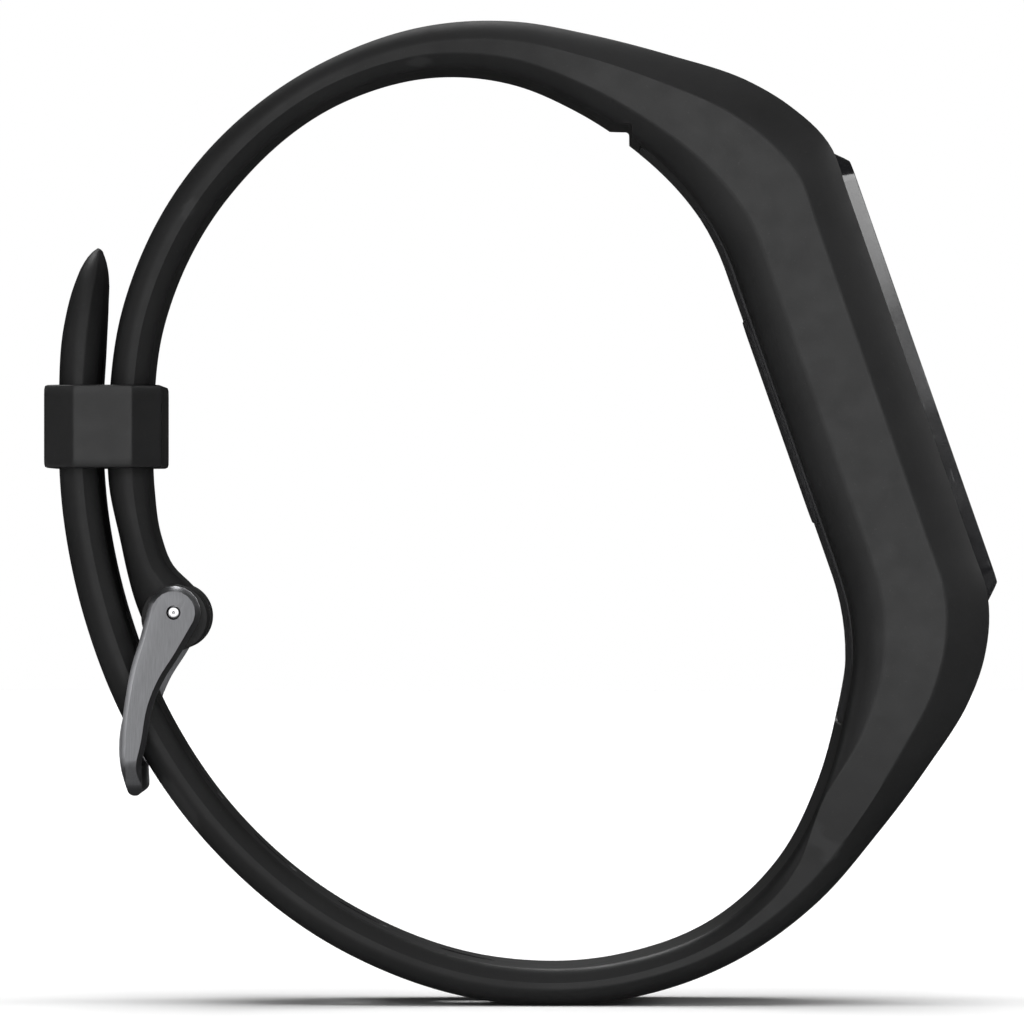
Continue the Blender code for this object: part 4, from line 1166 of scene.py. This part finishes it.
def chip_epoxy(name):
    """Moulded package: dark epoxy with a sandy surface."""
    n = Nodes(name)
    spot = n.spot()
    sand = n.noise(spot, 12.0, 4.0, 0.7)
    tone = n.noise(spot, 0.8, 2.0)
    base = n.ramp(tone, 0.3, 0.7, (0.016, 0.016, 0.017), (0.026, 0.026, 0.027))
    n.colour(n.mix(n.ramp(sand, 0.6, 0.8, 0.0, 0.5), base, (0.06, 0.06, 0.058)))
    n.roughness(n.ramp(sand, 0.3, 0.7, 0.45, 0.62))
    n.bump((sand, 0.4, 0.008))
    return n.material


def flex_film(name):
    """Amber polyimide with fine copper conductors beneath."""
    n = Nodes(name)
    spot = n.spot()
    wave = n.add("ShaderNodeTexWave", {
        "Vector": spot, "Scale": 0.55, "Distortion": 0.0}, wave_type="BANDS",
        bands_direction="Y")
    lines = n.ramp(wave.outputs["Fac"], 0.45, 0.55, 0.0, 1.0)
    cloud = n.noise(spot, 0.9, 3.0)
    film = n.ramp(cloud, 0.3, 0.7, (0.33, 0.13, 0.016), (0.46, 0.20, 0.03))
    n.colour(n.mix(lines, film, (0.66, 0.33, 0.11)))
    n.roughness(n.ramp(cloud, 0.3, 0.7, 0.25, 0.38))
    n.bump((lines, 0.3, 0.01))
    n.set(Coat_Weight=0.3, Coat_Roughness=0.15)
    return n.material


def diffuser_film(name):
    """White light guide with a grid of faint printed dots."""
    n = Nodes(name)
    spot = n.spot()
    dots = n.ramp(n.voronoi(spot, 2.4), 0.16, 0.24, 1.0, 0.0)
    cloud = n.noise(spot, 0.5, 3.0)
    base = n.ramp(cloud, 0.3, 0.7, (0.70, 0.70, 0.68), (0.82, 0.82, 0.80))
    n.colour(n.mix(n.math("MULTIPLY", dots, 0.4), base, (0.93, 0.93, 0.92)))
    n.roughness(n.ramp(cloud, 0.3, 0.7, 0.42, 0.58))
    n.bump((dots, 0.4, 0.02))
    n.set(Subsurface_Weight=0.15, Subsurface_Scale=0.5 * MM)
    return n.material


def display_film(name):
    """The panel below the lens: polariser sheen over a fine pixel grid."""
    n = Nodes(name)
    spot = n.spot(turn=LYING_FLAT)
    cells = n.bricks(spot, 7.0, 0.02, 0.0, (
        (0.075, 0.090, 0.082), (0.085, 0.100, 0.092), (0.030, 0.036, 0.034)))
    cloud = n.noise(spot, 0.4, 2.0)
    sheen = n.ramp(cloud, 0.4, 0.8, 0.0, 0.35)
    n.colour(n.mix(sheen, cells["Color"], (0.06, 0.07, 0.08)))
    n.roughness(n.ramp(cloud, 0.3, 0.7, 0.16, 0.26))
    n.bump((cells["Fac"], 0.1, 0.004))
    return n.material


def seal_rubber(name):
    """Dark grey sealing rubber with a fine matt grain."""
    n = Nodes(name)
    spot = n.spot()
    grain = n.noise(spot, 8.0, 4.0, 0.65)
    tone = n.noise(spot, 0.5, 3.0)
    base = n.ramp(tone, 0.3, 0.7, (0.085, 0.085, 0.09), (0.125, 0.125, 0.13))
    n.worn_colour(base, (0.20, 0.20, 0.205), 0.4)
    n.roughness(n.ramp(grain, 0.3, 0.7, 0.62, 0.78))
    n.bump((grain, 0.4, 0.01))
    n.set(Sheen_Weight=0.08, Sheen_Roughness=0.5)
    return n.material


SILICONE = silicone("black_silicone", strap_roughness=0.14)
KEEPER_SILICONE = silicone("keeper_silicone", 0.010, 0.014, 0.8)
SATIN_STEEL = brushed("satin_steel", (0.50, 0.505, 0.525), 0.34, (14.0, 14.0, 0.9))
BRIGHT_STEEL = brushed("bright_steel", (0.74, 0.74, 0.75), 0.22, (9.0, 9.0, 9.0), 0.2)
SCREW_STEEL = brushed("screw_steel", (0.42, 0.42, 0.43), 0.30, (8.0, 8.0, 8.0), 0.2)
COVER_PLASTIC = shell_plastic("cover_plastic", (0.022, 0.022, 0.024))
GLOSS = gloss_plastic("gloss_plastic")
BUTTON_GLOSS = gloss_plastic("button_plastic", (0.013, 0.013, 0.014), 0.18)
LENS = smoked_lens("smoked_lens")


# ---------------------------------------------------------------- pieces on their bodies

def finish_piece(obj, material, body, node):
    obj.data.materials.clear()
    obj.data.materials.append(material)
    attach(obj, body)
    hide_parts(node)


finish_piece(make_band(), SILICONE, "band", "band")
finish_piece(make_keeper(), KEEPER_SILICONE, "keeper", "keeper_loop")
finish_piece(make_buckle_frame(), SATIN_STEEL, "buckle", "buckle_frame")
finish_piece(make_buckle_tongue(), SATIN_STEEL, "tongue", "buckle_tongue")
for side, sign in (("near", -1), ("far", 1)):
    tip = make_bar_tip(f"bar_tip_{side}_steel", "spring_bar_tip_" + side, sign)
    finish_piece(tip, BRIGHT_STEEL, "bar_tip_" + side, "spring_bar_tip_" + side)
finish_piece(make_display_bezel(), GLOSS, "module", "display_bezel")
finish_piece(make_display_lens(), LENS, "module", "display_lens")
finish_piece(make_button(), BUTTON_GLOSS, "button", "button_cap")
finish_piece(make_back_cover(), COVER_PLASTIC, "module", "back_cover")
for screw in SCREWS:
    finish_piece(make_back_screw(screw), SCREW_STEEL, "module", screw)

# The CAD nodes that keep their shape: (material, nodes).
CARRIED = (
    (shell_plastic("shell_plastic"), ("module_housing", "battery_tray")),
    (SATIN_STEEL, ("spring_bar_tube",)),
    (BRIGHT_STEEL, ("spring_bar_spring",)),
    (circuit_board("circuit_board"), ("main_board", "button_board")),
    (chip_epoxy("chip_epoxy"), ("processor_chip", "radio_chip", "accelerometer_chip")),
    (flex_film("flex_film"), ("display_flex",)),
    (diffuser_film("diffuser_film"), ("backlight",)),
    (display_film("display_film"), ("display_panel",)),
    (brushed("copper", (0.80, 0.43, 0.26), 0.30, (5.0, 12.0, 5.0), 0.2, 0.15), ("antenna",)),
    (brushed("nickel_steel", (0.62, 0.60, 0.56), 0.26, (7.0, 2.0, 7.0), 0.2, 0.2), (
        "coin_battery", "battery_contact_plus", "battery_contact_minus", "dome_switch",
        "crystal")),
    (seal_rubber("seal_rubber"), ("button_gasket", "back_gasket")),
)
ROUNDING = {"module_housing": 0.18 * MM, "battery_tray": 0.1 * MM, "coin_battery": 0.12 * MM}
SMALL_ROUNDING = 0.04 * MM
for material, names in CARRIED:
    for name in names:
        node = frame["nodes"][name]
        node.data.materials.clear()
        node.data.materials.append(material)
        if name == "spring_bar_spring":
            continue
        weld = node.modifiers.new("weld", "WELD")
        weld.merge_threshold = WELD_DISTANCE
        add_bevel(node, ROUNDING.get(name, SMALL_ROUNDING), 2, 40.0)


# ---------------------------------------------------------------- floor, light and camera

STAGE_RADIUS = 1.3
CAMERA_DISTANCE = 0.75
CAMERA_OFFSET = Vector((0.0008, 0.0, 0.00053))
CAMERA_LENS = 395.5
OVERHEAD_ANGLE_DEG = 70.0
WHITE = (1.0, 1.0, 1.0, 1.0)
HEAD_MIDDLE = (0.02, 0.0, 0.01)
ORIGIN = (0.0, 0.0, 0.0)
# Area lights: name, place, what they aim at, size and power. Each group has its own receivers.
EDGE_LIGHT = ("edge_box", (1.6, 0.05, 0.793), HEAD_MIDDLE, (1.0, 0.4), 6.4)
FRONT_LIGHT = ("front_box", (0.1, -1.5, 0.35), ORIGIN, (1.8, 1.3), 11.5)
RIGHT_LIGHT = ("right_box", (1.6, 0.05, 0.80), HEAD_MIDDLE, (1.0, 0.4), 3.2)
COMMON_LIGHTS = (
    ("back_box", (-0.2, 1.15, 1.35), ORIGIN, (0.9, 0.6), 6.5),
    ("left_box", (-1.5, -0.4, 0.5), ORIGIN, (0.6, 0.6), 0.8),
)
STEEL_LIGHTS = (
    ("steel_front", (0.1, -1.5, 0.35), ORIGIN, (1.8, 1.3), 2.9),
    ("steel_left", (-1.2, -0.8, 0.5), ORIGIN, (0.9, 0.9), 3.0),
    ("steel_right", (1.2, -0.8, 0.5), ORIGIN, (0.9, 0.9), 3.0),
    ("steel_back", (0.2, 1.4, 0.5), ORIGIN, (1.4, 0.9), 5.0),
    ("steel_behind", (-1.5, 0.3, 0.3), ORIGIN, (1.0, 0.8), 2.5),
    ("steel_top", (0.0, 0.1, 1.6), ORIGIN, (1.4, 1.4), 1.6),
)


def make_floor():
    bm = bmesh.new()
    bmesh.ops.create_circle(bm, cap_ends=True, segments=128, radius=STAGE_RADIUS)
    floor = to_object("studio_floor", bm, Matrix.Translation((0.0, 0.0, CAD_LOW.z)))
    n = Nodes("floor_paper")
    cloud = n.noise(n.spot((3.0, 3.0, 3.0)), 1.0, 2.0)
    n.colour(n.ramp(cloud, 0.3, 0.7, 0.83, 0.85))
    n.roughness(n.ramp(cloud, 0.3, 0.7, 0.85, 0.9))
    n.set(Specular_IOR_Level=0.0)
    floor.data.materials.append(n.material)
    floor.visible_glossy = False
    return floor


def area_light(name, place, aim, size, power):
    data = bpy.data.lights.new(name, "AREA")
    data.shape = "RECTANGLE"
    data.size, data.size_y = size
    data.energy = power
    lamp = add_object(name, data)
    lamp.location = place
    lamp.rotation_mode = "QUATERNION"
    lamp.rotation_quaternion = (Vector(place) - Vector(aim)).to_track_quat("Z", "Y")
    lamp.visible_camera = False
    return lamp


def overhead(name, energy):
    """Wide, soft light from straight above."""
    data = bpy.data.lights.new(name, "SUN")
    data.energy = energy
    data.angle = radians(OVERHEAD_ANGLE_DEG)
    return add_object(name, data)


def shine_on(lamp, objects, state="INCLUDE"):
    """Let a lamp light only these objects, or every object but these."""
    group = bpy.data.collections.new("lit_by_" + lamp.name)
    for obj in objects:
        group.objects.link(obj)
    for member in group.collection_objects:
        member.light_linking.link_state = state
    lamp.light_linking.receiver_collection = group


def make_world():
    """White to the camera. What lights the object is a dim fill that is weaker behind it."""
    world = bpy.data.worlds.new("studio")
    world.use_nodes = True
    tree = world.node_tree
    tree.nodes.clear()
    ways = add_node(tree, "ShaderNodeTexCoord").outputs["Generated"]
    parts = add_node(tree, "ShaderNodeSeparateXYZ", {"Vector": ways})
    fade = add_node(tree, "ShaderNodeMapRange", {
        "Value": parts.outputs["Y"], "From Min": -0.3, "From Max": 0.2, "To Min": 0.15,
        "To Max": 0.035})
    fade = fade.outputs["Result"]
    fill = add_node(tree, "ShaderNodeBackground", {"Color": WHITE, "Strength": fade})
    seen = add_node(tree, "ShaderNodeBackground", {"Color": WHITE, "Strength": 1.0})
    choose = add_node(tree, "ShaderNodeMixShader", {
        "Fac": add_node(tree, "ShaderNodeLightPath").outputs["Is Camera Ray"],
        1: fill.outputs["Background"], 2: seen.outputs["Background"]})
    add_node(tree, "ShaderNodeOutputWorld", {"Surface": choose.outputs["Shader"]})
    bpy.context.scene.world = world


def make_lights(floor):
    steel = [obj for obj in bpy.data.objects if obj.name.startswith("buckle_")]
    bezel = [bpy.data.objects["display_bezel_gloss"]]
    overhead("overhead", 0.42)
    shine_on(overhead("overhead_floor", 3.0), [floor])
    shine_on(area_light(*FRONT_LIGHT), steel, "EXCLUDE")
    shine_on(area_light(*EDGE_LIGHT), bezel)
    shine_on(area_light(*RIGHT_LIGHT), bezel, "EXCLUDE")
    for light in COMMON_LIGHTS:
        area_light(*light)
    for light in STEEL_LIGHTS:
        shine_on(area_light(*light), steel)


def make_camera():
    data = bpy.data.cameras.new("camera")
    data.sensor_width = 36.0
    data.lens = CAMERA_LENS
    data.clip_start = 0.01
    data.clip_end = 50.0
    camera = add_object("camera", data)
    camera.location = CAMERA_OFFSET + Vector((0.0, -CAMERA_DISTANCE, 0.0))
    camera.rotation_euler = (radians(90.0), 0.0, 0.0)
    bpy.context.scene.camera = camera


make_world()
make_lights(make_floor())
make_camera()
bpy.context.scene.view_settings.view_transform = "Standard"
